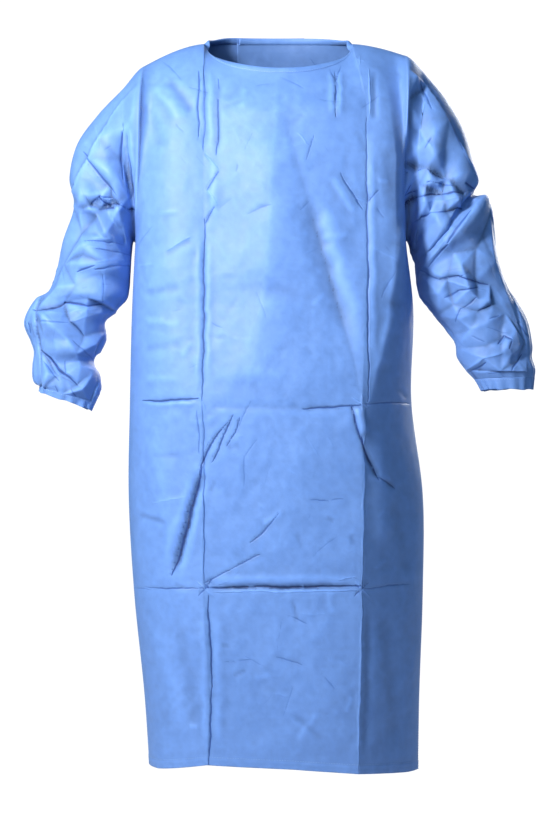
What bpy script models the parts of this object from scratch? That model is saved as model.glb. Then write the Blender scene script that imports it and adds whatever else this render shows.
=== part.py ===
"""Surgical gown, filled out as it is worn: a hollow garment that closes at the back.

Units are metres. +Z is up and the front faces -Y. The origin is the middle of the neck,
level with the two neck points, where the wearer's shoulders carry the gown.
"Drop" is a distance down from the origin, so a point's z is minus its drop.
"""

import math
from collections import namedtuple

import bmesh
import bpy
import numpy as np

# Driving dimensions
WALL = 0.002
SEAM_GAP = 0.0003
UNDERARM_DROP = 0.330
CREASE_DROP = 0.595
HEM_DROP = 1.194
HEM_SWING = 0.08
SHOULDER_ROUNDING = 0.10
NECKLINE_ROUNDING = 0.075

# Neck opening
NECK_LEFT = -0.117
NECK_RIGHT = 0.128
NECK_POINT_DROP = -0.002
FRONT_NECK_DROP = 0.056
BACK_NECK_RISE = 0.010
FRONT_NECK_REACH = 0.088
BACK_NECK_REACH = 0.075

# Armholes
LEFT_TIP_DROP = 0.036
RIGHT_TIP_DROP = 0.018
SHOULDER_SLOPE_POWER = 1.6
ARMHOLE_HALF_DEPTH = 0.086
ARMHOLE_WIDEST_DROP = 0.17
ARMHOLE_SPREADS = 3
SLEEVE_TURN = 0.030

# Back closure
OVERLAP = 0.060
OVERLAP_LIFT = 0.0065
LIFT_STARTS = 0.055
FREE_EDGE_COLUMN = 0.012

# Trimmings
BINDING_WIDTH = 0.008
BINDING_STANDS_PROUD = 0.0003
STRAP_WALL = 0.0012
STRAP_WIDTH = 0.028
CUFF_GATHERS = 15
CUFF_GATHER_DEPTH = 0.0022

# Mesh steps
ARMHOLE_STEPS = 10
SIDE_STEPS = 7
CENTRE_STEPS = 14
BACK_CENTRE_STEPS = 10
SIDE_EVENNESS = 0.45
CENTRE_EVENNESS = 0.5
TURN_STEPS = 4
CUFF_POINTS_PER_SIDE = 3
CUFF_STEPS = 2
STRAP_STEPS = 12
STRAP_EDGES = (-1, 0, 1)
SLOPE_STEP = 0.004
SHARP_ANGLE = 40

FRONT = -1
BACK = 1
LEFT = -1
RIGHT = 1

# How full the left side strip is between its crease and its seam, as the power of a
# rounded square, and what share of the section's flatness each strip takes.
LEFT_FULLNESS = 2.7
SIDE_FLATNESS = {LEFT: 0.35, RIGHT: 1.0}

# The body's outline and depths at each height. "creases" are the packing creases that
# run down the garment, "flatness" is how straight the panel slants from crease to side
# and "fullness" is how full the right strip is, as the power of a rounded square.
Section = namedtuple(
    "Section",
    "drop left right crease_left crease_right front back sag flatness fullness",
)
BODY = (
    Section(0.00, -0.217, 0.217, NECK_LEFT, NECK_RIGHT, 0.088, 0.080, 0.020, 0.10, 2.0),
    Section(0.11, -0.221, 0.216, -0.118, 0.149, 0.120, 0.112, 0.022, 0.08, 3.0),
    Section(0.20, -0.223, 0.210, -0.117, 0.147, 0.140, 0.128, 0.020, 0.05, 3.6),
    Section(0.33, -0.232, 0.217, -0.117, 0.146, 0.153, 0.132, 0.018, 0.08, 3.6),
    Section(0.43, -0.237, 0.229, -0.118, 0.145, 0.163, 0.131, 0.016, 0.18, 3.0),
    Section(CREASE_DROP, -0.241, 0.227, -0.118, 0.141, 0.184, 0.130, 0.014, 0.45, 2.1),
    Section(0.75, -0.243, 0.246, -0.117, 0.141, 0.182, 0.132, 0.012, 0.55, 2.0),
    Section(0.91, -0.234, 0.246, -0.115, 0.140, 0.178, 0.136, 0.010, 0.60, 2.0),
    Section(1.09, -0.216, 0.240, -0.106, 0.137, 0.168, 0.140, 0.010, 0.60, 2.0),
    Section(1.21, -0.208, 0.238, -0.110, 0.135, 0.160, 0.142, 0.010, 0.60, 2.0),
)

# Rows of the body below the underarm, closer together beside the packing creases.
LOWER_ROWS = (
    0.38, 0.44, 0.50, 0.55, 0.585, CREASE_DROP, 0.605, 0.65, 0.71, 0.77,
    0.83, 0.875, 0.90, 0.91, 0.92, 0.97, 1.03, 1.09, 1.15, HEM_DROP,
)

# How far the hem hangs below HEM_DROP at places across the front.
HemPoint = namedtuple("HemPoint", "x lower")
HEM_LINE = (
    HemPoint(-0.24, -0.002),
    HemPoint(-0.19, 0.000),
    HemPoint(-0.11, -0.012),
    HemPoint(0.03, -0.006),
    HemPoint(0.13, 0.002),
    HemPoint(0.22, 0.011),
)

# The largest folds of the body panels: a soft trough (negative depth) or ridge
# from one point to another, with its half width at either end.
Fold = namedtuple("Fold", "face x1 drop1 x2 drop2 width1 width2 depth")
BODY_FOLDS = (
    Fold(FRONT, -0.225, 0.595, 0.205, 0.597, 0.010, 0.010, -0.0035),
    Fold(FRONT, -0.200, 0.910, 0.215, 0.910, 0.010, 0.010, -0.0045),
    Fold(FRONT, -0.070, 0.640, -0.165, 0.880, 0.014, 0.016, -0.0060),
    Fold(FRONT, 0.015, 0.120, 0.045, 0.570, 0.012, 0.045, -0.0060),
    Fold(FRONT, 0.140, 0.610, 0.195, 0.760, 0.014, 0.016, -0.0040),
    Fold(FRONT, -0.175, 0.120, -0.135, 0.230, 0.014, 0.016, -0.0040),
    Fold(BACK, -0.200, 0.595, 0.200, 0.595, 0.010, 0.010, -0.0035),
    Fold(BACK, -0.200, 0.910, 0.200, 0.910, 0.010, 0.010, -0.0035),
    Fold(BACK, -0.170, 0.130, -0.100, 0.420, 0.018, 0.030, -0.0060),
    Fold(BACK, 0.180, 0.120, 0.120, 0.430, 0.018, 0.030, -0.0060),
    Fold(BACK, -0.150, 0.700, -0.180, 1.100, 0.016, 0.030, -0.0050),
)
FOLD_FADES_BY = 0.030
FOLD_STARTS = 0.002
FOLD_FADES_BELOW_TOP = 0.060
FOLD_BLUNT_ENDS = 0.08

# The parts of a sleeve, and how many rows of it lie below each one.
SLEEVE_PARTS = {"cap": 14, "upper": 10, "elbow": 5, "lower": 0}

# A sleeve's sections, from the armhole to the cuff: its inner and outer edges as seen
# from the front, half its depth from front to back, and how far it is carried forward.
SleeveSection = namedtuple(
    "SleeveSection", "inner_x inner_drop outer_x outer_drop depth forward"
)
LEFT_SLEEVE = (
    SleeveSection(-0.2380, 0.337, -0.253, 0.073, 0.070, 0.000),
    SleeveSection(-0.2385, 0.345, -0.295, 0.117, 0.084, 0.000),
    SleeveSection(-0.2390, 0.355, -0.329, 0.165, 0.072, 0.002),
    SleeveSection(-0.2395, 0.365, -0.342, 0.222, 0.080, 0.004),
    SleeveSection(-0.2400, 0.377, -0.333, 0.268, 0.068, 0.006),
    SleeveSection(-0.2410, 0.390, -0.352, 0.325, 0.076, 0.009),
    SleeveSection(-0.2425, 0.405, -0.362, 0.372, 0.066, 0.012),
    SleeveSection(-0.2470, 0.424, -0.374, 0.408, 0.071, 0.016),
    SleeveSection(-0.2660, 0.446, -0.398, 0.426, 0.059, 0.020),
    SleeveSection(-0.2820, 0.462, -0.415, 0.462, 0.066, 0.025),
    SleeveSection(-0.2800, 0.488, -0.404, 0.493, 0.058, 0.029),
    SleeveSection(-0.2870, 0.508, -0.398, 0.512, 0.059, 0.033),
    SleeveSection(-0.3000, 0.527, -0.400, 0.533, 0.047, 0.037),
    SleeveSection(-0.2900, 0.552, -0.400, 0.552, 0.054, 0.041),
    SleeveSection(-0.2880, 0.575, -0.396, 0.563, 0.050, 0.045),
    SleeveSection(-0.2960, 0.596, -0.388, 0.567, 0.042, 0.048),
)
RIGHT_SLEEVE = (
    SleeveSection(0.2240, 0.337, 0.248, 0.046, 0.070, 0.000),
    SleeveSection(0.2255, 0.344, 0.283, 0.088, 0.084, 0.000),
    SleeveSection(0.2275, 0.350, 0.311, 0.135, 0.073, 0.002),
    SleeveSection(0.2295, 0.356, 0.327, 0.185, 0.082, 0.004),
    SleeveSection(0.2325, 0.363, 0.335, 0.230, 0.080, 0.006),
    SleeveSection(0.2330, 0.370, 0.331, 0.250, 0.069, 0.008),
    SleeveSection(0.2335, 0.378, 0.356, 0.260, 0.077, 0.010),
    SleeveSection(0.2345, 0.388, 0.365, 0.305, 0.069, 0.012),
    SleeveSection(0.2355, 0.401, 0.370, 0.355, 0.075, 0.015),
    SleeveSection(0.2420, 0.424, 0.385, 0.403, 0.065, 0.019),
    SleeveSection(0.2620, 0.448, 0.402, 0.430, 0.070, 0.023),
    SleeveSection(0.2820, 0.473, 0.418, 0.462, 0.060, 0.028),
    SleeveSection(0.2980, 0.498, 0.425, 0.500, 0.062, 0.033),
    SleeveSection(0.3010, 0.521, 0.424, 0.520, 0.054, 0.037),
    SleeveSection(0.3140, 0.541, 0.429, 0.539, 0.053, 0.042),
    SleeveSection(0.3290, 0.557, 0.428, 0.553, 0.043, 0.046),
)
LEFT_CUFF_EDGE = SleeveSection(-0.3020, 0.609, -0.388, 0.577, 0.039, 0.050)
RIGHT_CUFF_EDGE = SleeveSection(0.3400, 0.576, 0.425, 0.573, 0.039, 0.048)

# Ties and neck fastening, as places on the back panels.
TIE_DROP = 0.480
TIE_SEWN_AT = 0.165
TIE_TAIL = 0.300
TAIL_STARTS = 0.009
TAIL_SPREAD = 0.030
TAIL_LIFT = 0.004
TIE_LIFT = 0.0009
TIE_RISES = 0.002
TIE_PINCH = 0.35
TIE_PINCH_STARTS = 0.75
TAIL_TOP_SHARE = 0.35
TAIL_FOLDED_SHARE = 0.55
KNOT_SIZE = (0.034, 0.013, 0.026)
KNOT_LIFT = 0.0005
KNOT_ROUNDING = 0.36
TAB_DROP = 0.030
TAB_LENGTH = 0.090
TAB_WIDTH = 0.024
TAB_LIFT = 0.0012
TAB_SEWN_SHARE = 0.35
STEP_DOWN_STARTS = 0.004
STEP_DOWN_ENDS = 0.030

CLOTH_BLUE = (0.205, 0.361, 0.711, 1.0)
BINDING_BLUE = (0.190, 0.335, 0.680, 1.0)
TAB_WHITE = (0.70, 0.76, 0.86, 1.0)
ROUGHNESS = 0.62


def smooth(keys, values, at):
    """Reads a table smoothly: a cubic through values (first axis = keys) at the key at."""
    keys = np.asarray(keys, float)
    values = np.asarray(values, float)
    slopes = np.gradient(values, keys, axis=0)
    i = int(np.clip(np.searchsorted(keys, at) - 1, 0, len(keys) - 2))
    step = keys[i + 1] - keys[i]
    t = np.clip((at - keys[i]) / step, 0.0, 1.0)
    return (
        (1 + 2 * t) * (1 - t) ** 2 * values[i]
        + t * (1 - t) ** 2 * step * slopes[i]
        + t * t * (3 - 2 * t) * values[i + 1]
        - t * t * (1 - t) * step * slopes[i + 1]
    )


def ease(value, start, end):
    """0 before start, 1 after end, and an S-curve between them."""
    t = min(max((value - start) / (end - start), 0.0), 1.0)
    return t * t * (3 - 2 * t)


def section_at(drop):
    """The body's section at any drop."""
    return Section(*smooth([s.drop for s in BODY], np.array(BODY), drop))


def width_shares(side_steps, centre_steps):
    """Columns across a face, left to right, as (zone, share). In the centre zone the
    share runs from -1 to 1 between the creases; in a side zone from 0 at the crease
    to 1 at the seam."""
    side = []
    for k in range(side_steps + 1):
        even = k / side_steps
        turned = math.sin(math.pi / 2 * even)
        side.append(SIDE_EVENNESS * even + (1 - SIDE_EVENNESS) * turned)
    across = []
    for k in range(1, centre_steps):
        even = 2 * k / centre_steps - 1
        turned = -math.cos(math.pi * k / centre_steps)
        across.append(CENTRE_EVENNESS * even + (1 - CENTRE_EVENNESS) * turned)
    left = [(LEFT, s) for s in reversed(side)]
    return left + [(0, s) for s in across] + [(RIGHT, s) for s in side]


def share_at(x, drop):
    """The (zone, share) of a place x metres across, at a drop."""
    s = section_at(drop)
    if x < s.crease_left:
        return LEFT, (x - s.crease_left) / (s.left - s.crease_left)
    if x > s.crease_right:
        return RIGHT, (x - s.crease_right) / (s.right - s.crease_right)
    return 0, 2 * (x - s.crease_left) / (s.crease_right - s.crease_left) - 1


def x_at(zone, share, drop):
    """How far across a column is at a drop. The creases bend in to the neck points."""
    s = section_at(drop)
    if zone == LEFT:
        return s.crease_left + (s.left - s.crease_left) * share
    if zone == RIGHT:
        return s.crease_right + (s.right - s.crease_right) * share
    return s.crease_left + (s.crease_right - s.crease_left) * (share + 1) / 2


def top_drop(face, zone, share):
    """The drop of a panel's top edge: the shoulder seam, or the neckline between."""
    if zone == 0:
        bow = math.sqrt(max(0.0, 1 - share * share))
        dip = FRONT_NECK_DROP if face == FRONT else -BACK_NECK_RISE
        return NECK_POINT_DROP + dip * bow
    tip = LEFT_TIP_DROP if zone == LEFT else RIGHT_TIP_DROP
    return NECK_POINT_DROP + (tip - NECK_POINT_DROP) * share**SHOULDER_SLOPE_POWER


def armhole_half_depth(drop):
    """How far the armhole's edge stands before or behind the side at a drop."""
    if drop >= UNDERARM_DROP:
        return 0.0
    low = max(0.0, (drop - ARMHOLE_WIDEST_DROP) / (UNDERARM_DROP - ARMHOLE_WIDEST_DROP))
    return ARMHOLE_HALF_DEPTH * math.sqrt(1 - low * low)


def reach(face, zone, share, drop):
    """How far a face stands from the side seams' plane, without its top rounding."""
    s = section_at(drop)
    middle = s.front if face == FRONT else s.back
    if zone == 0:
        return middle - s.sag * share * share
    power = s.fullness if zone == RIGHT else LEFT_FULLNESS
    flat = s.flatness * SIDE_FLATNESS[zone]
    turned = flat * (1 - share) + (1 - flat) * (1 - share**power) ** (1 / power)
    panel = (middle - s.sag) * turned
    edge = armhole_half_depth(drop) * share**ARMHOLE_SPREADS
    return (panel**ARMHOLE_SPREADS + edge**ARMHOLE_SPREADS) ** (1 / ARMHOLE_SPREADS)


def body_point(face, zone, share, drop):
    """A point of the body's form. Near its top edge the cloth rounds over the shoulder,
    or lies towards the neckline."""
    top = top_drop(face, zone, share)
    inward = abs(share) ** 3 if zone == 0 else 1.0
    start = 0.0
    if zone == 0:
        neck = FRONT_NECK_REACH if face == FRONT else BACK_NECK_REACH
        start = neck * math.sqrt(max(0.0, 1 - share * share))
    radius = NECKLINE_ROUNDING + (SHOULDER_ROUNDING - NECKLINE_ROUNDING) * inward
    below = min(max((drop - top) / radius, 0.0), 1.0)
    rounding = (1 - (1 - below) ** 2) ** (1 - 0.5 * inward)
    out = start + (reach(face, zone, share, drop) - start) * rounding
    y = face * out + (SEAM_GAP if face == BACK else 0.0)
    return np.array((x_at(zone, share, drop), y, -drop))


def row_drops(face, zone, share):
    """The drops of a column's points, from its top edge to the hem."""
    top = top_drop(face, zone, share)
    upper = []
    for k in range(ARMHOLE_STEPS + 1):
        part = (1 - math.cos(math.pi * k / ARMHOLE_STEPS)) / 2
        upper.append(top + (UNDERARM_DROP - top) * part)
    x = x_at(zone, share, HEM_DROP)
    lower = np.interp(x, [h.x for h in HEM_LINE], [h.lower for h in HEM_LINE])
    swing = [ease(d, HEM_DROP - HEM_SWING, HEM_DROP) * lower for d in LOWER_ROWS]
    return upper + [d + s for d, s in zip(LOWER_ROWS, swing)]


def body_grid(face, columns):
    """The form's points, as rows from the top edge to the hem and columns across."""
    drops = [row_drops(face, zone, share) for zone, share in columns]
    rows = range(len(drops[0]))
    return np.array(
        [
            [body_point(face, *col, drops[c][r]) for c, col in enumerate(columns)]
            for r in rows
        ]
    )


def padded(grid, wrap=False):
    """The grid with one more row and column all round, for its neighbours."""
    rows = np.pad(grid, ((1, 1), (0, 0), (0, 0)), mode="edge")
    mode = "wrap" if wrap else "edge"
    return np.pad(rows, ((0, 0), (1, 1), (0, 0)), mode=mode)


def normals_of(around, outward):
    """Unit normals of a padded grid's inner points. outward is 1 or -1."""
    across = around[1:-1, 2:] - around[1:-1, :-2]
    down = around[2:, 1:-1] - around[:-2, 1:-1]
    normal = outward * np.cross(across, down)
    return normal / np.linalg.norm(normal, axis=2, keepdims=True)


def fold_depth(fold, x, drop):
    """The depth of one fold at a place on its panel. Its ends taper off."""
    start = np.array((fold.x1, fold.drop1))
    run = np.array((fold.x2, fold.drop2)) - start
    along = np.dot(np.array((x, drop)) - start, run) / np.dot(run, run)
    held = min(max(along, 0.0), 1.0)
    width = fold.width1 + (fold.width2 - fold.width1) * held
    away = np.linalg.norm(start + held * run - (x, drop)) / width
    inner = min(max(held, FOLD_BLUNT_ENDS), 1 - FOLD_BLUNT_ENDS)
    taper = math.sqrt(math.sin(math.pi * inner))
    return fold.depth * taper * math.exp(-away * away)


def with_folds(face, grid, normals):
    """The grid with its panel's folds pressed in. They fade out towards the edges."""
    folded = grid.copy()
    rows, cols = grid.shape[:2]
    for r in range(rows):
        for c in range(cols):
            x, _, z = grid[r, c]
            s = section_at(-z)
            side_room = min(x - s.left, s.right - x)
            top_room = -z - top_drop(face, *share_at(x, -z))
            fade = ease(side_room, FOLD_STARTS, FOLD_FADES_BY)
            fade *= ease(top_room, 0.0, FOLD_FADES_BELOW_TOP)
            relief = sum(fold_depth(f, x, -z) for f in BODY_FOLDS if f.face == face)
            folded[r, c] += normals[r, c] * relief * fade
    return folded


def wall(name, outer, normals, thickness, colour, wrap=False):
    """A closed cloth wall: the outer points, the same points moved in, and its rims."""
    rows, cols = outer.shape[:2]
    inner = outer - normals * thickness
    mesh = bmesh.new()
    layers = []
    for layer in (outer, inner):
        layers.append([[mesh.verts.new(p) for p in row] for row in layer])
    out, back = layers
    last = cols if wrap else cols - 1
    for r in range(rows - 1):
        for c in range(last):
            d = (c + 1) % cols
            mesh.faces.new((out[r][c], out[r + 1][c], out[r + 1][d], out[r][d]))
            mesh.faces.new((back[r][d], back[r + 1][d], back[r + 1][c], back[r][c]))
    for c in range(last):
        d = (c + 1) % cols
        mesh.faces.new((out[0][c], out[0][d], back[0][d], back[0][c]))
        mesh.faces.new((out[-1][d], out[-1][c], back[-1][c], back[-1][d]))
    if not wrap:
        for r in range(rows - 1):
            mesh.faces.new((out[r + 1][0], out[r][0], back[r][0], back[r + 1][0]))
            mesh.faces.new((out[r][-1], out[r + 1][-1], back[r + 1][-1], back[r][-1]))
    if mesh.calc_volume(signed=True) < 0:
        bmesh.ops.reverse_faces(mesh, faces=mesh.faces[:])
    bmesh.ops.triangulate(mesh, faces=mesh.faces[:], quad_method="BEAUTY")
    return finished(name, mesh, colour)


def wall_in_parts(parts, outer, normals, wrap=False):
    """A cloth wall cut across between rows into simpler forms a seam gap apart. "parts"
    names each one and gives its last row."""
    start = 0
    for name, end in parts:
        piece = outer[start : end + 1].copy()
        for row, near in ((0, 1), (-1, -2)):
            inside = 0 < (start if row == 0 else end) < len(outer) - 1
            if inside:
                on = piece[near] - piece[row]
                on /= np.linalg.norm(on, axis=1, keepdims=True)
                piece[row] += on * SEAM_GAP / 2
        wall(name, piece, normals[start : end + 1], WALL, CLOTH_BLUE, wrap)
        start = end


def finished(name, mesh, colour):
    """Makes a named object of the mesh, with its own material."""
    data = bpy.data.meshes.new(name)
    mesh.to_mesh(data)
    mesh.free()
    data.shade_smooth()
    data.set_sharp_from_angle(angle=math.radians(SHARP_ANGLE))
    material = bpy.data.materials.new(name)
    material.use_nodes = True
    shader = material.node_tree.nodes["Principled BSDF"]
    shader.inputs["Base Color"].default_value = colour
    shader.inputs["Roughness"].default_value = ROUGHNESS
    shader.inputs["Metallic"].default_value = 0.0
    data.materials.append(material)
    part = bpy.data.objects.new(name, data)
    collection().objects.link(part)
    return part


def collection():
    """The collection that holds the gown's pieces."""
    found = bpy.data.collections.get("surgical_gown")
    if found is None:
        found = bpy.data.collections.new("surgical_gown")
        bpy.context.scene.collection.children.link(found)
    return found


def edge_frame(points, normals, closed):
    """For each point of a panel's edge, the direction in the cloth that leaves the
    panel, where the next piece carries on. It is longer at corners, as a mitre is."""
    steps = np.diff(points, axis=0)
    first, last = (points[:1] - points[-1:],) * 2 if closed else (steps[:1], steps[-1:])
    sides = []
    for step in (np.vstack([first, steps]), np.vstack([steps, last])):
        side = np.cross(step, normals)
        sides.append(side / np.linalg.norm(side, axis=1, keepdims=True))
    one, two = sides
    return (one + two) / (1 + np.sum(one * two, axis=1, keepdims=True))


def armhole_loop(front, back, front_normals, back_normals, side):
    """The armhole's edge from the shoulder tip down the front edge to the underarm and
    up the back edge: its points, normals and the directions in which the sleeve leaves."""
    edge = 0 if side == LEFT else -1
    last = ARMHOLE_STEPS
    found = []
    for one, two in ((front, back), (front_normals, back_normals)):
        tip = (one[0, edge] + two[0, edge]) / 2
        low = (one[last, edge] + two[last, edge]) / 2
        down = [one[k, edge] for k in range(1, last)]
        up = [two[k, edge] for k in range(last - 1, 0, -1)]
        found.append(np.array([tip] + down + [low] + up))
    points, normals = found
    normals /= np.linalg.norm(normals, axis=1, keepdims=True)
    leave = -side * edge_frame(points, normals, closed=True)
    return points + leave * SEAM_GAP, normals, leave


def sleeve_ring(section):
    """One ring of a sleeve, starting at its outer edge and going round by the front."""
    outer = np.array((section.outer_x, -section.forward, -section.outer_drop))
    inner = np.array((section.inner_x, -section.forward, -section.inner_drop))
    centre = (outer + inner) / 2
    ring = []
    for k in range(2 * ARMHOLE_STEPS):
        angle = math.pi * k / ARMHOLE_STEPS
        depth = np.array((0.0, -section.depth * math.sin(angle), 0.0))
        ring.append(centre + (outer - centre) * math.cos(angle) + depth)
    return np.array(ring)


def sleeve_grid(loop, leave, sections):
    """A sleeve's rings. The cloth leaves the armhole in line with the panel, turns
    over into the first section and runs on through the others to the cuff."""
    rings = np.array([sleeve_ring(s) for s in sections])
    onward = rings[1] - rings[0]
    onward /= np.linalg.norm(onward, axis=1, keepdims=True)
    turn = []
    for k in range(TURN_STEPS):
        t = k / TURN_STEPS
        turn.append(
            (1 + 2 * t) * (1 - t) ** 2 * loop
            + t * (1 - t) ** 2 * SLEEVE_TURN * leave
            + t * t * (3 - 2 * t) * rings[0]
            - t * t * (1 - t) * SLEEVE_TURN * onward
        )
    return np.vstack([turn, rings])


def sleeve_normals(grid, side, loop_normals, cuff_ring):
    """Normals of a sleeve. At the armhole they are the panels', so that the two walls
    meet face to face, and at the cuff they lean to the cuff's."""
    around = padded(grid, wrap=True)
    around[-1, 1:-1] = cuff_ring
    normals = normals_of(around, side)
    normals[0] = loop_normals
    return normals


def panel_neighbours(grid, other, columns):
    """The padded grid of a face, with the other face's points over the side seams and
    shoulder seams around it."""
    around = padded(grid)
    rows = grid.shape[0]
    for pad, near, side in ((0, 1, LEFT), (-1, -2, RIGHT)):
        if columns[pad] == (side, 1.0):
            around[1 + ARMHOLE_STEPS : 1 + rows, pad] = other[ARMHOLE_STEPS:, near]
    for c, (zone, _) in enumerate(columns):
        if zone != 0:
            place = c if zone == LEFT else c - len(columns)
            around[0, 1 + c] = other[1, place]
    return around


def seam_normals(front, back, columns):
    """Both faces' normals with those along the side and shoulder seams made equal."""
    found = {
        FRONT: normals_of(panel_neighbours(front, back, columns[FRONT]), FRONT),
        BACK: normals_of(panel_neighbours(back, front, columns[BACK]), BACK),
    }
    one, two = found[FRONT], found[BACK]
    low = ARMHOLE_STEPS
    side_columns = list(range(SIDE_STEPS + 1)) + list(range(-SIDE_STEPS - 1, 0))
    for c in side_columns:
        shared = one[0, c] + two[0, c]
        one[0, c] = two[0, c] = shared / np.linalg.norm(shared)
    for c in (0, -1):
        shared = one[low:, c] + two[low:, c]
        shared /= np.linalg.norm(shared, axis=1, keepdims=True)
        one[low:, c] = two[low:, c] = shared
    return found


def panel_normals(face, shaped, plain, other, columns):
    """Normals of a panel with its folds, and the plain form's along its seams."""
    normals = normals_of(panel_neighbours(shaped, other, columns), face)
    for c, (zone, _) in enumerate(columns):
        if zone != 0:
            normals[0, c] = plain[0, c]
    if columns[0] == (LEFT, 1.0):
        normals[:, 0] = plain[:, 0]
    if columns[-1] == (RIGHT, 1.0):
        normals[:, -1] = plain[:, -1]
    return normals


def flap_columns(side):
    """Columns of one back panel: from its side seam past the middle to its free edge."""
    free = -side * OVERLAP
    kept = []
    for zone, share in width_shares(SIDE_STEPS, BACK_CENTRE_STEPS):
        inside = side * (x_at(zone, share, UNDERARM_DROP) - free) > FREE_EDGE_COLUMN
        if zone == side or inside:
            kept.append((zone, share))
    edge = share_at(free, UNDERARM_DROP)
    return kept + [edge] if side == LEFT else [edge] + kept


def lifted(grid, normals):
    """The outer back panel, which stands clear of the inner one where they overlap."""
    out = grid.copy()
    for r, row in enumerate(grid):
        for c, point in enumerate(row):
            out[r, c] += normals[r, c] * flap_lift(point[0], LEFT)
    return out


def cuff_grid(last_ring, side, start, end):
    """A cuff's rows: the sleeve's last ring moved on by a seam gap, drawn in to the
    edge with gathers that deepen towards it."""
    first = sleeve_ring(start)
    edge = sleeve_ring(end)
    on = edge.mean(axis=0) - first.mean(axis=0)
    on = on / np.linalg.norm(on)
    count = len(last_ring) * CUFF_POINTS_PER_SIDE
    rows = []
    for r in range(CUFF_STEPS + 1):
        part = r / CUFF_STEPS
        ring = last_ring * (1 - part) + edge * part + on * SEAM_GAP
        middle = ring.mean(axis=0)
        row = []
        for k in range(count):
            i, share = divmod(k, CUFF_POINTS_PER_SIDE)
            share /= CUFF_POINTS_PER_SIDE
            point = ring[i] * (1 - share) + ring[(i + 1) % len(ring)] * share
            wave = math.sin(2 * math.pi * CUFF_GATHERS * k / count)
            out = (point - middle) / np.linalg.norm(point - middle)
            row.append(point + out * wave * CUFF_GATHER_DEPTH * part)
        rows.append(row)
    return np.array(rows)


def spread(ring_values, per_side):
    """Values round a ring, interpolated to per_side steps between each two."""
    out = []
    for i in range(len(ring_values)):
        following = ring_values[(i + 1) % len(ring_values)]
        for k in range(per_side):
            share = k / per_side
            out.append(ring_values[i] * (1 - share) + following * share)
    return np.array(out)


def build_cuff(name, side, sleeve, normals, start, end):
    """The gathered cuff at a sleeve's end, which holds the elastic."""
    grid = cuff_grid(sleeve[-1], side, start, end)
    around = padded(grid, wrap=True)
    across = normals_of(around, side)
    seam = spread(normals[-1], CUFF_POINTS_PER_SIDE)
    across[0] = seam / np.linalg.norm(seam, axis=1, keepdims=True)
    return wall(name, grid, across, WALL, CLOTH_BLUE, wrap=True)


def neck_path(left_run, front_run, right_run):
    """The neck edge and its normals, from the outer back panel's free edge round the
    front to the inner one's. Panels that meet at a neck point share one place there."""
    path = []
    for left, front, right in zip(left_run, front_run, right_run):
        left, right = left[::-1], right[::-1]
        corners = ((left[-1] + front[0]) / 2, (front[-1] + right[0]) / 2)
        path.append(
            np.vstack([left[:-1], corners[:1], front[1:-1], corners[1:], right[1:]])
        )
    return path


def build_binding(edge, normals):
    """The neck binding, one strip from one back edge round the neck to the other. It
    starts a seam gap past the panels' neck edge and is a little thicker than they are."""
    normals = normals / np.linalg.norm(normals, axis=1, keepdims=True)
    leave = -edge_frame(edge, normals, closed=False)
    base = edge + normals * BINDING_STANDS_PROUD + leave * SEAM_GAP
    rows = [base + leave * BINDING_WIDTH * share for share in (1.0, 0.5, 0.0)]
    thickness = WALL + 2 * BINDING_STANDS_PROUD
    all_normals = np.array([normals] * len(rows))
    wall("neck_binding", np.array(rows), all_normals, thickness, BINDING_BLUE)


def back_place(x, drop, lift):
    """A point a lift outside the back form, and the form's normal there."""
    step = SLOPE_STEP

    def form(px, pdrop):
        return body_point(BACK, *share_at(px, pdrop), pdrop)

    across = form(x + step, drop) - form(x - step, drop)
    down = form(x, drop + step) - form(x, drop - step)
    normal = np.cross(across, down)
    normal /= np.linalg.norm(normal)
    return form(x, drop) + normal * lift, normal


def flap_lift(x, side):
    """How far the outside of the cloth stands off the back form at a place across.
    The outer panel ends at its free edge; a strap from the right steps up onto it."""
    start = -OVERLAP - LIFT_STARTS
    rise = OVERLAP_LIFT * ease(x, start, -OVERLAP)
    if side == RIGHT:
        start, end = OVERLAP + STEP_DOWN_STARTS, OVERLAP + STEP_DOWN_ENDS
        return OVERLAP_LIFT * (1 - ease(x, start, end))
    return rise


def strap_wall(name, places, colour):
    """A flat strap from a grid of (x, drop, lift) places on the back."""
    found = [[back_place(*place) for place in row] for row in places]
    outer = np.array([[p + n * STRAP_WALL for p, n in row] for row in found])
    normals = np.array([[n for _, n in row] for row in found])
    return wall(name, outer, normals, STRAP_WALL, colour)


def build_tie(name, side):
    """A waist tie, from where it is sewn to a back panel to the knot at the middle."""
    near = KNOT_SIZE[0] / 2 + SEAM_GAP
    rows = []
    for edge in STRAP_EDGES:
        row = []
        for k in range(STRAP_STEPS + 1):
            part = k / STRAP_STEPS
            x = side * (TIE_SEWN_AT + (near - TIE_SEWN_AT) * part)
            narrow = 1 - TIE_PINCH * ease(part, TIE_PINCH_STARTS, 1.0)
            drop = TIE_DROP + edge * STRAP_WIDTH / 2 * narrow
            lift = flap_lift(x, side) + TIE_LIFT + TIE_RISES * part
            row.append((x, drop, lift))
        rows.append(row)
    return strap_wall(name, rows, BINDING_BLUE)


def build_tail(name, side):
    """A tie's loose end, hanging from the knot down the back."""
    rows = []
    for k in range(STRAP_STEPS + 1):
        part = k / STRAP_STEPS
        drop = TIE_DROP + KNOT_SIZE[2] / 2 + SEAM_GAP + TIE_TAIL * part
        opened = TAIL_TOP_SHARE + (1 - TAIL_TOP_SHARE) * ease(part, 0.0, TAIL_TOP_SHARE)
        half = STRAP_WIDTH / 2 * opened
        half *= TAIL_FOLDED_SHARE + (1 - TAIL_FOLDED_SHARE) * part
        middle = side * (TAIL_STARTS + TAIL_SPREAD * part)
        row = []
        for edge in STRAP_EDGES:
            row.append((middle + edge * half, drop, OVERLAP_LIFT + TAIL_LIFT))
        rows.append(row)
    return strap_wall(name, rows, BINDING_BLUE)


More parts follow.
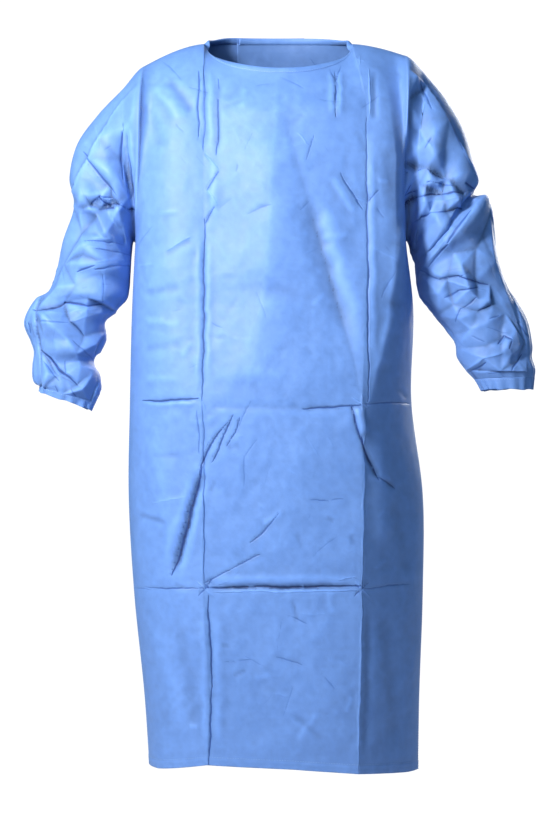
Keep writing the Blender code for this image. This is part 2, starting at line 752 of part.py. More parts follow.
def build_knot():
    """The tied knot, a soft closed form from a coarse cage."""
    lift = OVERLAP_LIFT + KNOT_LIFT + KNOT_SIZE[1] / 2
    place, _ = back_place(0.0, TIE_DROP, lift)
    mesh = bmesh.new()
    bmesh.ops.create_cube(mesh, size=1.0)
    bmesh.ops.scale(mesh, vec=KNOT_SIZE, verts=mesh.verts[:])
    bmesh.ops.bevel(
        mesh,
        geom=mesh.edges[:],
        offset=KNOT_SIZE[1] * KNOT_ROUNDING,
        segments=3,
        profile=0.5,
        affect="EDGES",
    )
    bmesh.ops.translate(mesh, vec=place, verts=mesh.verts[:])
    return finished("tie_knot", mesh, BINDING_BLUE)


def build_tab():
    """The hook-and-loop tab that closes the neck, sewn on the outer panel's edge."""
    start = OVERLAP - TAB_SEWN_SHARE * TAB_LENGTH
    rows = []
    for edge in STRAP_EDGES:
        row = []
        for k in range(STRAP_STEPS + 1):
            x = start + TAB_LENGTH * k / STRAP_STEPS
            drop = TAB_DROP + edge * TAB_WIDTH / 2
            row.append((x, drop, flap_lift(x, RIGHT) + TAB_LIFT))
        rows.append(row)
    return strap_wall("neck_tab", rows, TAB_WHITE)


def body_parts(name):
    """The parts of a body panel: down to the underarm, the first crease and the hem."""
    crease = ARMHOLE_STEPS + 1 + LOWER_ROWS.index(CREASE_DROP)
    hem = ARMHOLE_STEPS + len(LOWER_ROWS)
    ends = (("chest", ARMHOLE_STEPS), ("waist", crease), ("skirt", hem))
    return [(f"{name}_{word}", row) for word, row in ends]


def build_body(front, back, columns, plain):
    """The front panel and the two back panels. Returns their neck edges and normals."""
    shaped = with_folds(FRONT, front, plain[FRONT])
    normals = panel_normals(FRONT, shaped, plain[FRONT], back, columns[FRONT])
    wall_in_parts(body_parts("front_panel"), shaped, normals)
    middle = slice(SIDE_STEPS, SIDE_STEPS + CENTRE_STEPS + 1)
    runs = {FRONT: (shaped[0, middle], normals[0, middle])}
    for side, name in ((LEFT, "back_panel_left"), (RIGHT, "back_panel_right")):
        flap = flap_columns(side)
        grid = body_grid(BACK, flap)
        own = normals_of(panel_neighbours(grid, front, flap), BACK)
        seam = slice(0, SIDE_STEPS + 1) if side == LEFT else slice(-SIDE_STEPS - 1, None)
        own[0, seam] = plain[BACK][0, seam]
        end = 0 if side == LEFT else -1
        own[:, end] = plain[BACK][:, end]
        shaped = with_folds(BACK, grid, own)
        if side == LEFT:
            shaped = lifted(shaped, own)
        normals = panel_normals(BACK, shaped, own, front, flap)
        wall_in_parts(body_parts(name), shaped, normals)
        neck = [c for c, (zone, share) in enumerate(flap) if zone * share == 0]
        runs[name] = (shaped[0, neck], normals[0, neck])
    return neck_path(runs["back_panel_left"], runs[FRONT], runs["back_panel_right"])


def build_sleeve(side, word, front, back, plain):
    """One sleeve with its cuff."""
    sections = LEFT_SLEEVE if side == LEFT else RIGHT_SLEEVE
    cuff_edge = LEFT_CUFF_EDGE if side == LEFT else RIGHT_CUFF_EDGE
    loop, normals, leave = armhole_loop(front, back, plain[FRONT], plain[BACK], side)
    grid = sleeve_grid(loop, leave, sections)
    normals = sleeve_normals(grid, side, normals, sleeve_ring(cuff_edge))
    last = len(grid) - 1
    ends = [(f"sleeve_{word}_{part}", last - n) for part, n in SLEEVE_PARTS.items()]
    wall_in_parts(ends, grid, normals, wrap=True)
    build_cuff(f"cuff_{word}", side, grid, normals, sections[-1], cuff_edge)


def build_gown():
    """Builds every piece of the gown."""
    columns = {
        FRONT: width_shares(SIDE_STEPS, CENTRE_STEPS),
        BACK: width_shares(SIDE_STEPS, BACK_CENTRE_STEPS),
    }
    front = body_grid(FRONT, columns[FRONT])
    back = body_grid(BACK, columns[BACK])
    plain = seam_normals(front, back, columns)
    neck = build_body(front, back, columns, plain)
    build_binding(*neck)
    for side, word in ((LEFT, "left"), (RIGHT, "right")):
        build_sleeve(side, word, front, back, plain)
        build_tie(f"tie_{word}", side)
        build_tail(f"tie_tail_{word}", side)
    build_knot()
    build_tab()


def clear_scene():
    """Removes whatever the file holds."""
    for thing in list(bpy.data.objects):
        bpy.data.objects.remove(thing, do_unlink=True)


clear_scene()
build_gown()
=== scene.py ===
"""Dresses the surgical gown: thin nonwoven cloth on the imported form, with its packing
creases and wrinkles, bound neck, gathered cuffs, sewn seams, neck tab and waist ties."""

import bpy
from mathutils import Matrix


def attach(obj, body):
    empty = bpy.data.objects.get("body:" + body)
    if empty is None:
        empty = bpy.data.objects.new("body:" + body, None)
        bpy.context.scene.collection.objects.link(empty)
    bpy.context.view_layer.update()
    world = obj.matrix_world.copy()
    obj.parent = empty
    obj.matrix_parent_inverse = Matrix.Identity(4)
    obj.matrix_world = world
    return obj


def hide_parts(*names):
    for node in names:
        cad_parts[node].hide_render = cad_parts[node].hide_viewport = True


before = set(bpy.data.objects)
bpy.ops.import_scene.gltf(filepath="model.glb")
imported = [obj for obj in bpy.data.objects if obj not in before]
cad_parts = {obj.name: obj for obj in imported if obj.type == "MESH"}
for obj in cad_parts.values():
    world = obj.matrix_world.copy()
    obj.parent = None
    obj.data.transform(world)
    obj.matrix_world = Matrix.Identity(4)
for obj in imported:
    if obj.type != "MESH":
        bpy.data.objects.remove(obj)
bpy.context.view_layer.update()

import logging
import math
from dataclasses import dataclass, field
from enum import Enum, IntEnum

import bmesh
import bpy
import numpy as np
from mathutils import Vector
from mathutils.geometry import delaunay_2d_cdt

log = logging.getLogger("surgical_gown")

Array = np.ndarray
MM = 0.001


class Side(IntEnum):
    """The picture's side of the garment."""

    LEFT = -1
    MIDDLE = 0
    RIGHT = 1


class Face(IntEnum):
    """Which way a panel looks."""

    FRONT = -1
    BACK = 1


class Profile(Enum):
    """The shape across a fold."""

    SOFT = "rounded"
    CRISP = "pressed to a line"


class Held(Enum):
    """How a sheet of cloth is held."""

    DRAPED = "draped"
    HUNG = "hung"
    GATHERED = "gathered"
    FOLDED = "folded"


SOFT = Profile.SOFT
CRISP = Profile.CRISP


def ease(value: Array, start: float, end: float) -> Array:
    """Eases from 0 to 1 along an S-curve.

    Args:
        value: Numbers to read.
        start: Where the curve leaves 0.
        end: Where it reaches 1.

    Returns:
        The eased numbers.
    """
    t = np.clip((value - start) / (end - start), 0.0, 1.0)
    return t * t * (3 - 2 * t)


def unit(vectors: Array) -> Array:
    """Scales vectors to length 1.

    Args:
        vectors: Vectors along the last axis.

    Returns:
        The same directions with length 1.
    """
    length = np.linalg.norm(vectors, axis=-1, keepdims=True)
    return vectors / np.maximum(length, 1e-12)


def smooth_read(keys: Array, values: Array, at: Array) -> Array:
    """Reads a table smoothly, with the cubic that the solids use.

    Args:
        keys: The table's rising keys.
        values: A row of values for each key.
        at: Where to read it, of any shape.

    Returns:
        The values there, with one more axis than at.
    """
    slopes = np.gradient(values, keys, axis=0)
    i = np.clip(np.searchsorted(keys, at) - 1, 0, len(keys) - 2)
    step = (keys[i + 1] - keys[i])[..., None]
    t = np.clip((at - keys[i])[..., None] / step, 0.0, 1.0)
    return (
        (1 + 2 * t) * (1 - t) ** 2 * values[i]
        + t * (1 - t) ** 2 * step * slopes[i]
        + t * t * (3 - 2 * t) * values[i + 1]
        - t * t * (1 - t) * step * slopes[i + 1]
    )


def run_lengths(points: Array, axis: int) -> Array:
    """Measures how far each point of a grid lies along its own row or column.

    Args:
        points: A grid of points.
        axis: 0 to measure down the columns, 1 across the rows.

    Returns:
        The distance from the first point, for each point.
    """
    steps = np.linalg.norm(np.diff(points, axis=axis), axis=2)
    first = np.zeros_like(points[:1, :, 0] if axis == 0 else points[:, :1, 0])
    return np.concatenate([first, np.cumsum(steps, axis=axis)], axis=axis)


@dataclass(frozen=True)
class Ripple:
    """Smooth unevenness of a fixed seed, such as cloth has everywhere."""

    seed: int

    def at(self, u: Array, v: Array) -> Array:
        """Reads the unevenness.

        Args:
            u: Places across, in cells.
            v: Places down, in cells.

        Returns:
            Numbers from about -1 to 1.
        """
        draws = np.random.default_rng(self.seed)
        order = draws.permutation(256)
        turn = draws.uniform(0, 2 * math.pi, 256)
        iu, iv = np.floor(u).astype(int), np.floor(v).astype(int)
        fu, fv = u - iu, v - iv
        total = 0.0
        for du in (0, 1):
            for dv in (0, 1):
                angle = turn[order[(order[(iu + du) % 256] + iv + dv) % 256]]
                dot = np.cos(angle) * (fu - du) + np.sin(angle) * (fv - dv)
                total = total + dot * ease(1 - abs(fu - du), 0, 1) * ease(
                    1 - abs(fv - dv), 0, 1
                )
        return 1.5 * total

    def crumpled(self, u: Array, v: Array) -> Array:
        """Reads it as sharp ridges with smooth hollows, as crushed paper has.

        Args:
            u: Places across, in cells.
            v: Places down, in cells.

        Returns:
            Numbers from about -1 to 1, with ridges at 1.
        """
        return 1 - 2.4 * np.abs(self.at(u, v))

    def facets(self, u: Array, v: Array) -> Array:
        """Reads it as flat facets with crisp bends between them, as stiff cloth has.

        Args:
            u: Places across, in cells.
            v: Places down, in cells.

        Returns:
            Numbers from -1 to 1.
        """
        draws = np.random.default_rng(self.seed)
        order = draws.permutation(256)
        height = draws.uniform(-1, 1, 256)
        iu, iv = np.floor(u).astype(int), np.floor(v).astype(int)
        a, b = u - iu, v - iv

        def corner(du: int, dv: int) -> Array:
            return height[order[(order[(iu + du) % 256] + iv + dv) % 256]]

        low = corner(0, 0) * (1 - a - b) + corner(1, 0) * a + corner(0, 1) * b
        high = corner(1, 1) * (a + b - 1) + corner(0, 1) * (1 - a) + corner(1, 0) * (1 - b)
        return np.where(a + b < 1, low, high)


@dataclass(frozen=True)
class Fold:
    """A trough (negative depth) or ridge across a panel. Places are in millimetres, x
    from the garment's middle and drop from the neck, as they are seen from in front."""

    x1: float
    drop1: float
    x2: float
    drop2: float
    bow: float
    width: float
    depth: float
    profile: Profile = Profile.SOFT
    skew: float = 0.0

    def _place(self, x: Array, drop: Array) -> tuple[Array, Array, Array, Array]:
        """Finds which places lie near the fold, and where they lie on it.

        Args:
            x: Places across, in millimetres.
            drop: Places down, in millimetres.

        Returns:
            Which are near, and for those the share along the fold, the distance from
            its line and how much of its depth is left towards its ends.
        """
        run_x, run_d = self.x2 - self.x1, self.drop2 - self.drop1
        length = math.hypot(run_x, run_d)
        room = 3 * self.width + abs(self.bow)
        near = (
            (x > min(self.x1, self.x2) - room)
            & (x < max(self.x1, self.x2) + room)
            & (drop > min(self.drop1, self.drop2) - room)
            & (drop < max(self.drop1, self.drop2) + room)
        )
        px, pd = x[near] - self.x1, drop[near] - self.drop1
        along = (px * run_x + pd * run_d) / length**2
        off = (px * run_d - pd * run_x) / length
        off = off - self.bow * 4 * along * (1 - along)
        ends = ease(along, 0.0, 0.22) * ease(1 - along, 0.0, 0.22)
        return near, along, off, ends

    def add_to(self, relief: Array, x: Array, drop: Array) -> None:
        """Presses the fold into a panel's relief.

        Args:
            relief: Heights in millimetres, which are changed.
            x: Places across, in millimetres.
            drop: Places down, in millimetres.
        """
        near, _, off, ends = self._place(x, drop)
        share = np.abs(off) / (self.width * (1 + self.skew * np.sign(off)))
        if self.profile is Profile.CRISP:
            body = min(max((self.width - 2) / 9, 0.15), 1.0)
            across = body / (1 + share * share) ** 2
        else:
            across = np.exp(-share * share)
        relief[near] += self.depth * across * ends

    def draw_on(self, marks: Array, x: Array, drop: Array) -> None:
        """Marks the fold's line, where it is nearer than the lines before it, for the material to paint
        as shade along troughs and as light along ridges.

        Args:
            marks: For each place the distance from a line and the line's half width, in
                millimetres, and its strength. They are changed.
            x: Places across, in millimetres.
            drop: Places down, in millimetres.
        """
        near, along, off, ends = self._place(x, drop)
        bow = np.sin(math.pi * np.clip(along, 0.0, 1.0))
        half = (0.5 + 0.2 * self.width) * (0.35 + 0.65 * bow)
        # Strength of the painted line: above 0 paints shade along a trough, below 0 paints light along
        # a ridge.
        strength = np.clip(-self.depth / 3.5, -1.0, 1.0) * (ends > 0)
        strength = strength * (1 - ease(np.abs(off), 1.5 * half + 2.0, 1.5 * half + 3.5))
        found = marks[near]
        closer = (strength != 0) & (np.abs(off) < np.abs(found[:, 0]))
        found[closer] = np.stack([off, half, strength], -1)[closer]
        marks[near] = found

    def crowding(self, marks: Array, x: Array, drop: Array) -> int:
        """Counts the places near the fold that other folds already hold.

        Args:
            marks: As above.
            x: Places across, in millimetres.
            drop: Places down, in millimetres.

        Returns:
            How many there are.
        """
        near, _, off, ends = self._place(x, drop)
        held = np.abs(marks[near][:, 0]) < 12
        return int(np.count_nonzero(held & (ends > 0) & (np.abs(off) < 8)))


@dataclass(frozen=True)
class Bend:
    """A corner at which flat facets of crumpled cloth meet, in millimetres."""

    x: float
    drop: float
    height: float


@dataclass(frozen=True)
class Crumple:
    """Flat facets between corners, with crisp bends, as stiff cloth crumples."""

    bends: tuple[Bend, ...] = ()

    def relief(self, x: Array, drop: Array) -> Array:
        """Reads the facets' heights.

        Args:
            x: Places across, in millimetres.
            drop: Places down, in millimetres.

        Returns:
            Heights in millimetres, 0 outside the facets.
        """
        found = np.zeros_like(x)
        if not self.bends:
            return found
        spots = [Vector((bend.x, bend.drop)) for bend in self.bends]
        corners, _, faces, origins, *_ = delaunay_2d_cdt(spots, [], [], 0, 0.01)
        for face in faces:
            a, b, c = (corners[k] for k in face)
            low, mid, high = (self.bends[origins[k][0]].height for k in face)
            twice = (b - a).cross(c - a)
            to_b = ((x - a.x) * (c.y - a.y) - (drop - a.y) * (c.x - a.x)) / twice
            to_c = ((drop - a.y) * (b.x - a.x) - (x - a.x) * (b.y - a.y)) / twice
            inside = (to_b >= 0) & (to_c >= 0) & (to_b + to_c <= 1)
            height = low + (mid - low) * to_b + (high - low) * to_c
            found = np.where(inside, height, found)
        return found


def scattered(
    seed: int, count: int, box: tuple[float, float, float, float], longest: float
) -> list[Fold]:
    """Makes small wrinkles of uneven place, turn, length and depth.

    Args:
        seed: Fixes the draw.
        count: How many.
        box: Least x, greatest x, least drop and greatest drop, in millimetres.
        longest: The longest wrinkle, in millimetres.

    Returns:
        The wrinkles.
    """
    draws = np.random.default_rng(seed)
    made = []
    for _ in range(count):
        x, drop = draws.uniform(box[0], box[1]), draws.uniform(box[2], box[3])
        turn = draws.uniform(0, math.pi)
        half = longest * draws.uniform(0.25, 1.0) / 2
        width = draws.uniform(2.5, 6.0)
        depth = draws.choice((-1.0, 1.0)) * draws.uniform(0.15, 0.75)
        bow = draws.uniform(-0.12, 0.12) * half
        dx, dd = half * math.cos(turn), half * math.sin(turn)
        profile = Profile.CRISP if draws.uniform() < 0.6 else Profile.SOFT
        ends = x - dx, drop - dd, x + dx, drop + dd
        made.append(Fold(*ends, bow, width, depth, profile))
    return made


@dataclass(frozen=True)
class Wrinkling:
    """Everything that breaks up a panel's smooth form."""

    folds: tuple[Fold, ...]
    seed: int
    crumple: float = 0.35
    billow: float = 1.0
    wander: float = 2.2
    strength: float = 1.0
    facets: Crumple = Crumple()
    facet_depth: float = 1.0

    def _moved(self, x: Array, drop: Array) -> tuple[Array, Array]:
        """Shifts places a little, so that no fold runs quite straight.

        Args:
            x: Places across, in millimetres.
            drop: Places down, in millimetres.

        Returns:
            Both, shifted.
        """
        shifted = []
        for step, places in enumerate((x, drop)):
            ripple = Ripple(self.seed + step)
            far, close = ripple.at(x / 34, drop / 34), ripple.at(x / 9 + 7, drop / 9)
            shifted.append(places + self.wander * (far + 0.35 * close))
        return shifted[0], shifted[1]

    def lines(self, x: Array, drop: Array) -> Array:
        """Works out where crisp creases run, for the material to paint them finely as lines of shade
        along troughs and of light along ridges.

        Args:
            x: Places across, in metres.
            drop: Places down, in metres.

        Returns:
            Two sets, so that close creases stay apart. In each, for each place, the
            distance from its nearest crease and that crease's half width, in
            millimetres, and its strength: below 0 for a ridge.
        """
        moved = self._moved(x / MM, drop / MM)
        marks = np.zeros((2, *x.shape, 3))
        marks[..., 0], marks[..., 1] = 20.0, 1.0
        crisp = [fold for fold in self.folds if fold.profile is Profile.CRISP]
        for fold in crisp:
            crowds = [fold.crowding(part, *moved) for part in marks]
            fold.draw_on(marks[int(np.argmin(crowds))], *moved)
        for part in marks:
            torn = np.zeros(x.shape, dtype=bool)
            for axis in (0, 1):
                jump = np.abs(np.diff(part[..., 0], axis=axis)) > 4.0
                ahead, behind = [slice(None)] * 2, [slice(None)] * 2
                ahead[axis], behind[axis] = slice(1, None), slice(None, -1)
                torn[tuple(ahead)] |= jump
                torn[tuple(behind)] |= jump
            part[torn, 2] = 0.0
        return marks

    def relief(self, x: Array, drop: Array) -> Array:
        """Works out how far the cloth stands off its form.

        Args:
            x: Places across, in metres.
            drop: Places down, in metres.

        Returns:
            Heights in metres.
        """
        x, drop = x / MM, drop / MM
        bend = Ripple(self.seed)
        other = Ripple(self.seed + 1)
        moved_x, moved_d = self._moved(x, drop)
        found = self.facet_depth * self.facets.relief(moved_x, moved_d)
        pressed = np.zeros_like(x)
        for fold in self.folds:
            fold.add_to(pressed, moved_x, moved_d)
        found += pressed * self.strength
        crushed = bend.facets(moved_x / 46 + 3, moved_d / 62)
        crushed = crushed + 0.45 * other.facets(moved_d / 24 + 5, moved_x / 19)
        crushed = crushed + 0.22 * other.crumpled(moved_x / 21, moved_d / 25 + 5)
        crushed = crushed + 0.14 * bend.crumpled(moved_x / 8.5, moved_d / 9.5)
        found += self.crumple * crushed
        found += self.billow * (
            other.at(x / 110 + 11, drop / 150) + 0.5 * bend.at(x / 60, drop / 80 + 4)
        )
        return found * MM


class NodeWork:
    """Adds and joins nodes in one tree, shader or geometry."""

    def __init__(self, tree: bpy.types.NodeTree) -> None:
        """Starts work on a tree.

        Args:
            tree: The node tree to add to.
        """
        self.tree = tree

    def add(self, kind: str, **settings: object) -> bpy.types.Node:
        """Adds a node.

        Args:
            kind: The node's type name.
            **settings: Properties to set on it.

        Returns:
            The new node.
        """
        node = self.tree.nodes.new(kind)
        for name, value in settings.items():
            setattr(node, name, value)
        return node

    def feed(self, socket: bpy.types.NodeSocket, value: object) -> None:
        """Sets a socket, or joins another socket to it.

        Args:
            socket: The input.
            value: A number, a colour or an output socket.
        """
        if isinstance(value, bpy.types.NodeSocket):
            self.tree.links.new(value, socket)
        else:
            socket.default_value = value

    def math(self, operation: str, *values: object) -> bpy.types.NodeSocket:
        """Adds a math node.

        Args:
            operation: What it does.
            *values: Its inputs in order.

        Returns:
            Its output.
        """
        node = self.add("ShaderNodeMath", operation=operation)
        for socket, value in zip(node.inputs, values):
            self.feed(socket, value)
        return node.outputs[0]

    def spread(
        self, value: object, low: float, high: float, to_low: float, to_high: float
    ) -> bpy.types.NodeSocket:
        """Maps one range to another.

        Args:
            value: The input.
            low: Where the input starts.
            high: Where it ends.
            to_low: What low becomes.
            to_high: What high becomes.

        Returns:
            The mapped value.
        """
        node = self.add("ShaderNodeMapRange", interpolation_type="SMOOTHSTEP")
        for socket, number in zip(node.inputs, (value, low, high, to_low, to_high)):
            self.feed(socket, number)
        return node.outputs[0]

    def noise(
        self, vector: object, scale: float, detail: float, kind: str = "FBM"
    ) -> bpy.types.NodeSocket:
        """Adds a noise texture.

        Args:
            vector: Where it is read.
            scale: Features to the metre.
            detail: Its finer layers.
            kind: The noise's type.

        Returns:
            Its factor.
        """
        node = self.add("ShaderNodeTexNoise", noise_type=kind)
        self.feed(node.inputs["Vector"], vector)
        self.feed(node.inputs["Scale"], scale)
        self.feed(node.inputs["Detail"], detail)
        return node.outputs[0]

    def blend(self, share: object, one: object, two: object) -> bpy.types.NodeSocket:
        """Mixes two colours.

        Args:
            share: How much of the second.
            one: The first colour.
            two: The second colour.

        Returns:
            The mixed colour.
        """
        node = self.add("ShaderNodeMix", data_type="RGBA")
        self.feed(node.inputs[0], share)
        self.feed(node.inputs[6], one)
        self.feed(node.inputs[7], two)
        return node.outputs[2]


class FibreWeb:
    """The look of spunbonded cloth: a cloudy web of fibres, pressed with bond points and
    finely crinkled. Every cloth and tape finish reads it."""

    NAME = "fibre web"

    def group(self) -> bpy.types.NodeTree:
        """Finds or builds the shader node group.

        Returns:
            The group, with inputs Place, Weave, Light, Dark, Pitch, Crinkle and Bonds,
            and outputs Colour, Roughness and Height.
        """
        found = bpy.data.node_groups.get(self.NAME)
        if found is not None:
            return found
        tree = bpy.data.node_groups.new(self.NAME, "ShaderNodeTree")
        for name, kind in (
            ("Place", "NodeSocketVector"),
            ("Weave", "NodeSocketVector"),
            ("Light", "NodeSocketColor"),
            ("Dark", "NodeSocketColor"),
            ("Pitch", "NodeSocketFloat"),
            ("Crinkle", "NodeSocketFloat"),
            ("Bonds", "NodeSocketFloat"),
        ):
            tree.interface.new_socket(name, in_out="INPUT", socket_type=kind)
        for name, kind in (
            ("Colour", "NodeSocketColor"),
            ("Roughness", "NodeSocketFloat"),
            ("Height", "NodeSocketFloat"),
        ):
            tree.interface.new_socket(name, in_out="OUTPUT", socket_type=kind)
        work = NodeWork(tree)
        given = work.add("NodeGroupInput").outputs
        place = given["Place"]
        cut = work.add("ShaderNodeSeparateXYZ")
        work.feed(cut.inputs[0], given["Weave"])
        turns = work.math("DIVIDE", 2 * math.pi, given["Pitch"])
        waves = []
        for output, ratio in ((cut.outputs[0], 1.0), (cut.outputs[1], 0.62)):
            angle = work.math("MULTIPLY", work.math("MULTIPLY", output, ratio), turns)
            waves.append(work.math("SINE", angle))
        dots = work.math("MULTIPLY", *waves)
        bond = work.spread(dots, 0.35, 0.8, 0.0, 1.0)
        cloud = work.noise(place, 55, 4)
        wide = work.noise(place, 9, 3)
        fibre = work.noise(place, 900, 3)
        crush = work.noise(place, 42, 4, "RIDGED_MULTIFRACTAL")
        tone = work.math("ADD", work.math("MULTIPLY", cloud, 0.55), 0.0)
        tone = work.math("ADD", tone, work.math("MULTIPLY", wide, 0.30))
        tone = work.math("ADD", tone, work.math("MULTIPLY", fibre, 0.15))
        shade = work.spread(tone, 0.34, 0.66, 0.0, 1.0)
        colour = work.blend(shade, given["Dark"], given["Light"])
        pressed = work.math("MULTIPLY", work.math("MULTIPLY", bond, given["Bonds"]), 0.5)
        colour = work.blend(pressed, colour, given["Dark"])
        rough = work.math("SUBTRACT", 0.50, work.math("MULTIPLY", bond, 0.16))
        rough = work.math("ADD", rough, work.math("MULTIPLY", shade, 0.08))
        height = work.math("MULTIPLY", crush, 0.30)
        for scale, weight in ((19.0, 0.8), (47.0, 0.35)):
            cells = work.add("ShaderNodeTexVoronoi", feature="F1")
            work.feed(cells.inputs["Vector"], place)
            work.feed(cells.inputs["Scale"], scale)
            patch = work.spread(work.noise(place, 9 + scale / 6, 1), 0.40, 0.65, 0.0, 1.0)
            tent = work.math("MULTIPLY", cells.outputs["Distance"], patch)
            height = work.math("MULTIPLY_ADD", tent, weight, height)
        height = work.math("MULTIPLY", height, given["Crinkle"])
        height = work.math("ADD", height, work.math("MULTIPLY", fibre, 0.10))
        dents = work.math("MULTIPLY", work.math("MULTIPLY", bond, given["Bonds"]), 0.16)
        height = work.math("SUBTRACT", height, dents)
        done = work.add("NodeGroupOutput")
        for name, value in (("Colour", colour), ("Roughness", rough), ("Height", height)):
            work.feed(done.inputs[name], value)
        return tree


class PaintedCreaseShading:
    """Crisp creases painted into the colour as lines of shade along troughs and of light along ridges,
    read from the marks that a piece carries; each crease also dents the bump.
    """

    NAME = "drawn crease"

    def group(self) -> bpy.types.NodeTree:
        """Finds or builds the shader node group.

        Returns:
            The group, with inputs Marks, Hollow, Colour and Height, and outputs Colour
            and Height.
        """
        found = bpy.data.node_groups.get(self.NAME)
        if found is not None:
            return found
        tree = bpy.data.node_groups.new(self.NAME, "ShaderNodeTree")
        for name, kind, way in (
            ("Marks", "NodeSocketVector", "INPUT"),
            ("Hollow", "NodeSocketFloat", "INPUT"),
            ("Colour", "NodeSocketColor", "INPUT"),
            ("Height", "NodeSocketFloat", "INPUT"),
            ("Colour", "NodeSocketColor", "OUTPUT"),
            ("Height", "NodeSocketFloat", "OUTPUT"),
        ):
            tree.interface.new_socket(name, in_out=way, socket_type=kind)
        work = NodeWork(tree)
        given = work.add("NodeGroupInput").outputs
        marks = work.add("ShaderNodeSeparateXYZ")
        work.feed(marks.inputs[0], given["Marks"])
        off, half, strength = marks.outputs
        half = work.math("MAXIMUM", half, 0.3)
        share = work.math("DIVIDE", work.math("ABSOLUTE", off), half)
        line = work.spread(share, 0.15, 1.25, 1.0, 0.0)
        bank = work.spread(share, 0.0, 2.2, 1.0, 0.0)
        # Painted shade along troughs and painted light along ridges.
        dark = work.math("MULTIPLY", line, work.math("MAXIMUM", strength, 0.0))
        light = work.math("MULTIPLY", line, work.math("MINIMUM", strength, 0.0))
        # Painted shade in the fold hollows and painted light on the ridges.
        shade = work.math("MULTIPLY_ADD", given["Hollow"], 0.40, 1.0)
        shade = work.math("MULTIPLY_ADD", light, -0.20, shade)
        shade = work.math("MULTIPLY", shade, work.math("MULTIPLY_ADD", dark, -0.45, 1.0))
        # Painted shade: the colour is deepened and darkened along troughs.
        deep = work.add("ShaderNodeGamma")
        work.feed(deep.inputs[0], given["Colour"])
        work.feed(deep.inputs[1], work.math("MULTIPLY_ADD", dark, 0.75, 1.0))
        tint = work.add("ShaderNodeVectorMath", operation="SCALE")
        work.feed(tint.inputs[0], deep.outputs[0])
        work.feed(tint.inputs["Scale"], shade)
        sunk = work.math("MULTIPLY", bank, strength)
        height = work.math("MULTIPLY_ADD", sunk, -0.9, given["Height"])
        done = work.add("NodeGroupOutput")
        work.feed(done.inputs["Colour"], tint.outputs[0])
        work.feed(done.inputs["Height"], height)
        return tree


@dataclass(frozen=True)
class ClothFinish:
    """A finish of spunbonded cloth or of tape cut from it."""

    name: str
    light: tuple[float, float, float]
    dark: tuple[float, float, float]
    pitch: float = 0.0016
    crinkle: float = 1.0
    bonds: float = 1.0
    relief: float = 0.0016
    sheen: float = 0.08
    gloss: float = 0.50

    def material(self) -> bpy.types.Material:
        """Finds or builds the material.

        Returns:
            The material.
        """
        found = bpy.data.materials.get(self.name)
        if found is not None:
            return found
        made = bpy.data.materials.new(self.name)
        made.use_nodes = True
        work = NodeWork(made.node_tree)
        shader = made.node_tree.nodes["Principled BSDF"]
        web = work.add("ShaderNodeGroup", node_tree=FibreWeb().group())
        place = work.add("ShaderNodeTexCoord").outputs["Object"]
        weave = work.add("ShaderNodeUVMap", uv_map="cloth").outputs[0]
        work.feed(web.inputs["Place"], place)
        work.feed(web.inputs["Weave"], weave)
        work.feed(web.inputs["Light"], (*self.light, 1.0))
        work.feed(web.inputs["Dark"], (*self.dark, 1.0))
        work.feed(web.inputs["Pitch"], self.pitch)
        work.feed(web.inputs["Crinkle"], self.crinkle)
        work.feed(web.inputs["Bonds"], self.bonds)
        bump = work.add("ShaderNodeBump")
        bump.inputs["Strength"].default_value = 1.0
        bump.inputs["Distance"].default_value = self.relief
        # The fold attribute carries painted shade for hollows and painted light for ridges; the crease
        # attributes carry painted lines of shade and light.
        fold = work.add("ShaderNodeAttribute", attribute_name="fold").outputs["Fac"]
        crease = web
        for name in ("crease 1", "crease 2"):
            before, fold = crease.outputs, fold if crease is web else 0.0
            crease = work.add("ShaderNodeGroup", node_tree=PaintedCreaseShading().group())
            marks = work.add("ShaderNodeAttribute", attribute_name=name)
            work.feed(crease.inputs["Marks"], marks.outputs["Vector"])
            work.feed(crease.inputs["Hollow"], fold)
            work.feed(crease.inputs["Colour"], before["Colour"])
            work.feed(crease.inputs["Height"], before["Height"])
        work.feed(shader.inputs["Base Color"], crease.outputs["Colour"])
        work.feed(bump.inputs["Height"], crease.outputs["Height"])
        work.feed(shader.inputs["Roughness"], web.outputs["Roughness"])
        work.feed(shader.inputs["Normal"], bump.outputs[0])
        shader.inputs["Sheen Weight"].default_value = self.sheen
        shader.inputs["Sheen Roughness"].default_value = 0.45
        shader.inputs["Sheen Tint"].default_value = (0.55, 0.75, 1.0, 1.0)
        shader.inputs["Specular IOR Level"].default_value = self.gloss
        return made


@dataclass(frozen=True)
class PileFinish:
    """The short loops or hooks of a fastening strip."""

    name: str
    colour: tuple[float, float, float]
    loops: float = 950.0

    def material(self) -> bpy.types.Material:
        """Finds or builds the material.

        Returns:
            The material.
        """
        found = bpy.data.materials.get(self.name)
        if found is not None:
            return found
        made = bpy.data.materials.new(self.name)
        made.use_nodes = True
        work = NodeWork(made.node_tree)
        shader = made.node_tree.nodes["Principled BSDF"]
        place = work.add("ShaderNodeUVMap", uv_map="cloth").outputs[0]
        cells = work.add("ShaderNodeTexVoronoi")
        work.feed(cells.inputs["Vector"], place)
        work.feed(cells.inputs["Scale"], self.loops)
        tuft = work.spread(cells.outputs["Distance"], 0.1, 0.7, 1.0, 0.0)
        # Painted shade: the colour is darker in the gaps between the loops, where the bump is low.
        dark = tuple(0.62 * c for c in self.colour)
        colour = work.blend(tuft, (*dark, 1.0), (*self.colour, 1.0))
        bump = work.add("ShaderNodeBump")
        bump.inputs["Distance"].default_value = 0.0006
        work.feed(bump.inputs["Height"], tuft)
        work.feed(shader.inputs["Base Color"], colour)
        work.feed(shader.inputs["Normal"], bump.outputs[0])
        shader.inputs["Roughness"].default_value = 0.85
        shader.inputs["Sheen Weight"].default_value = 0.4
        return made


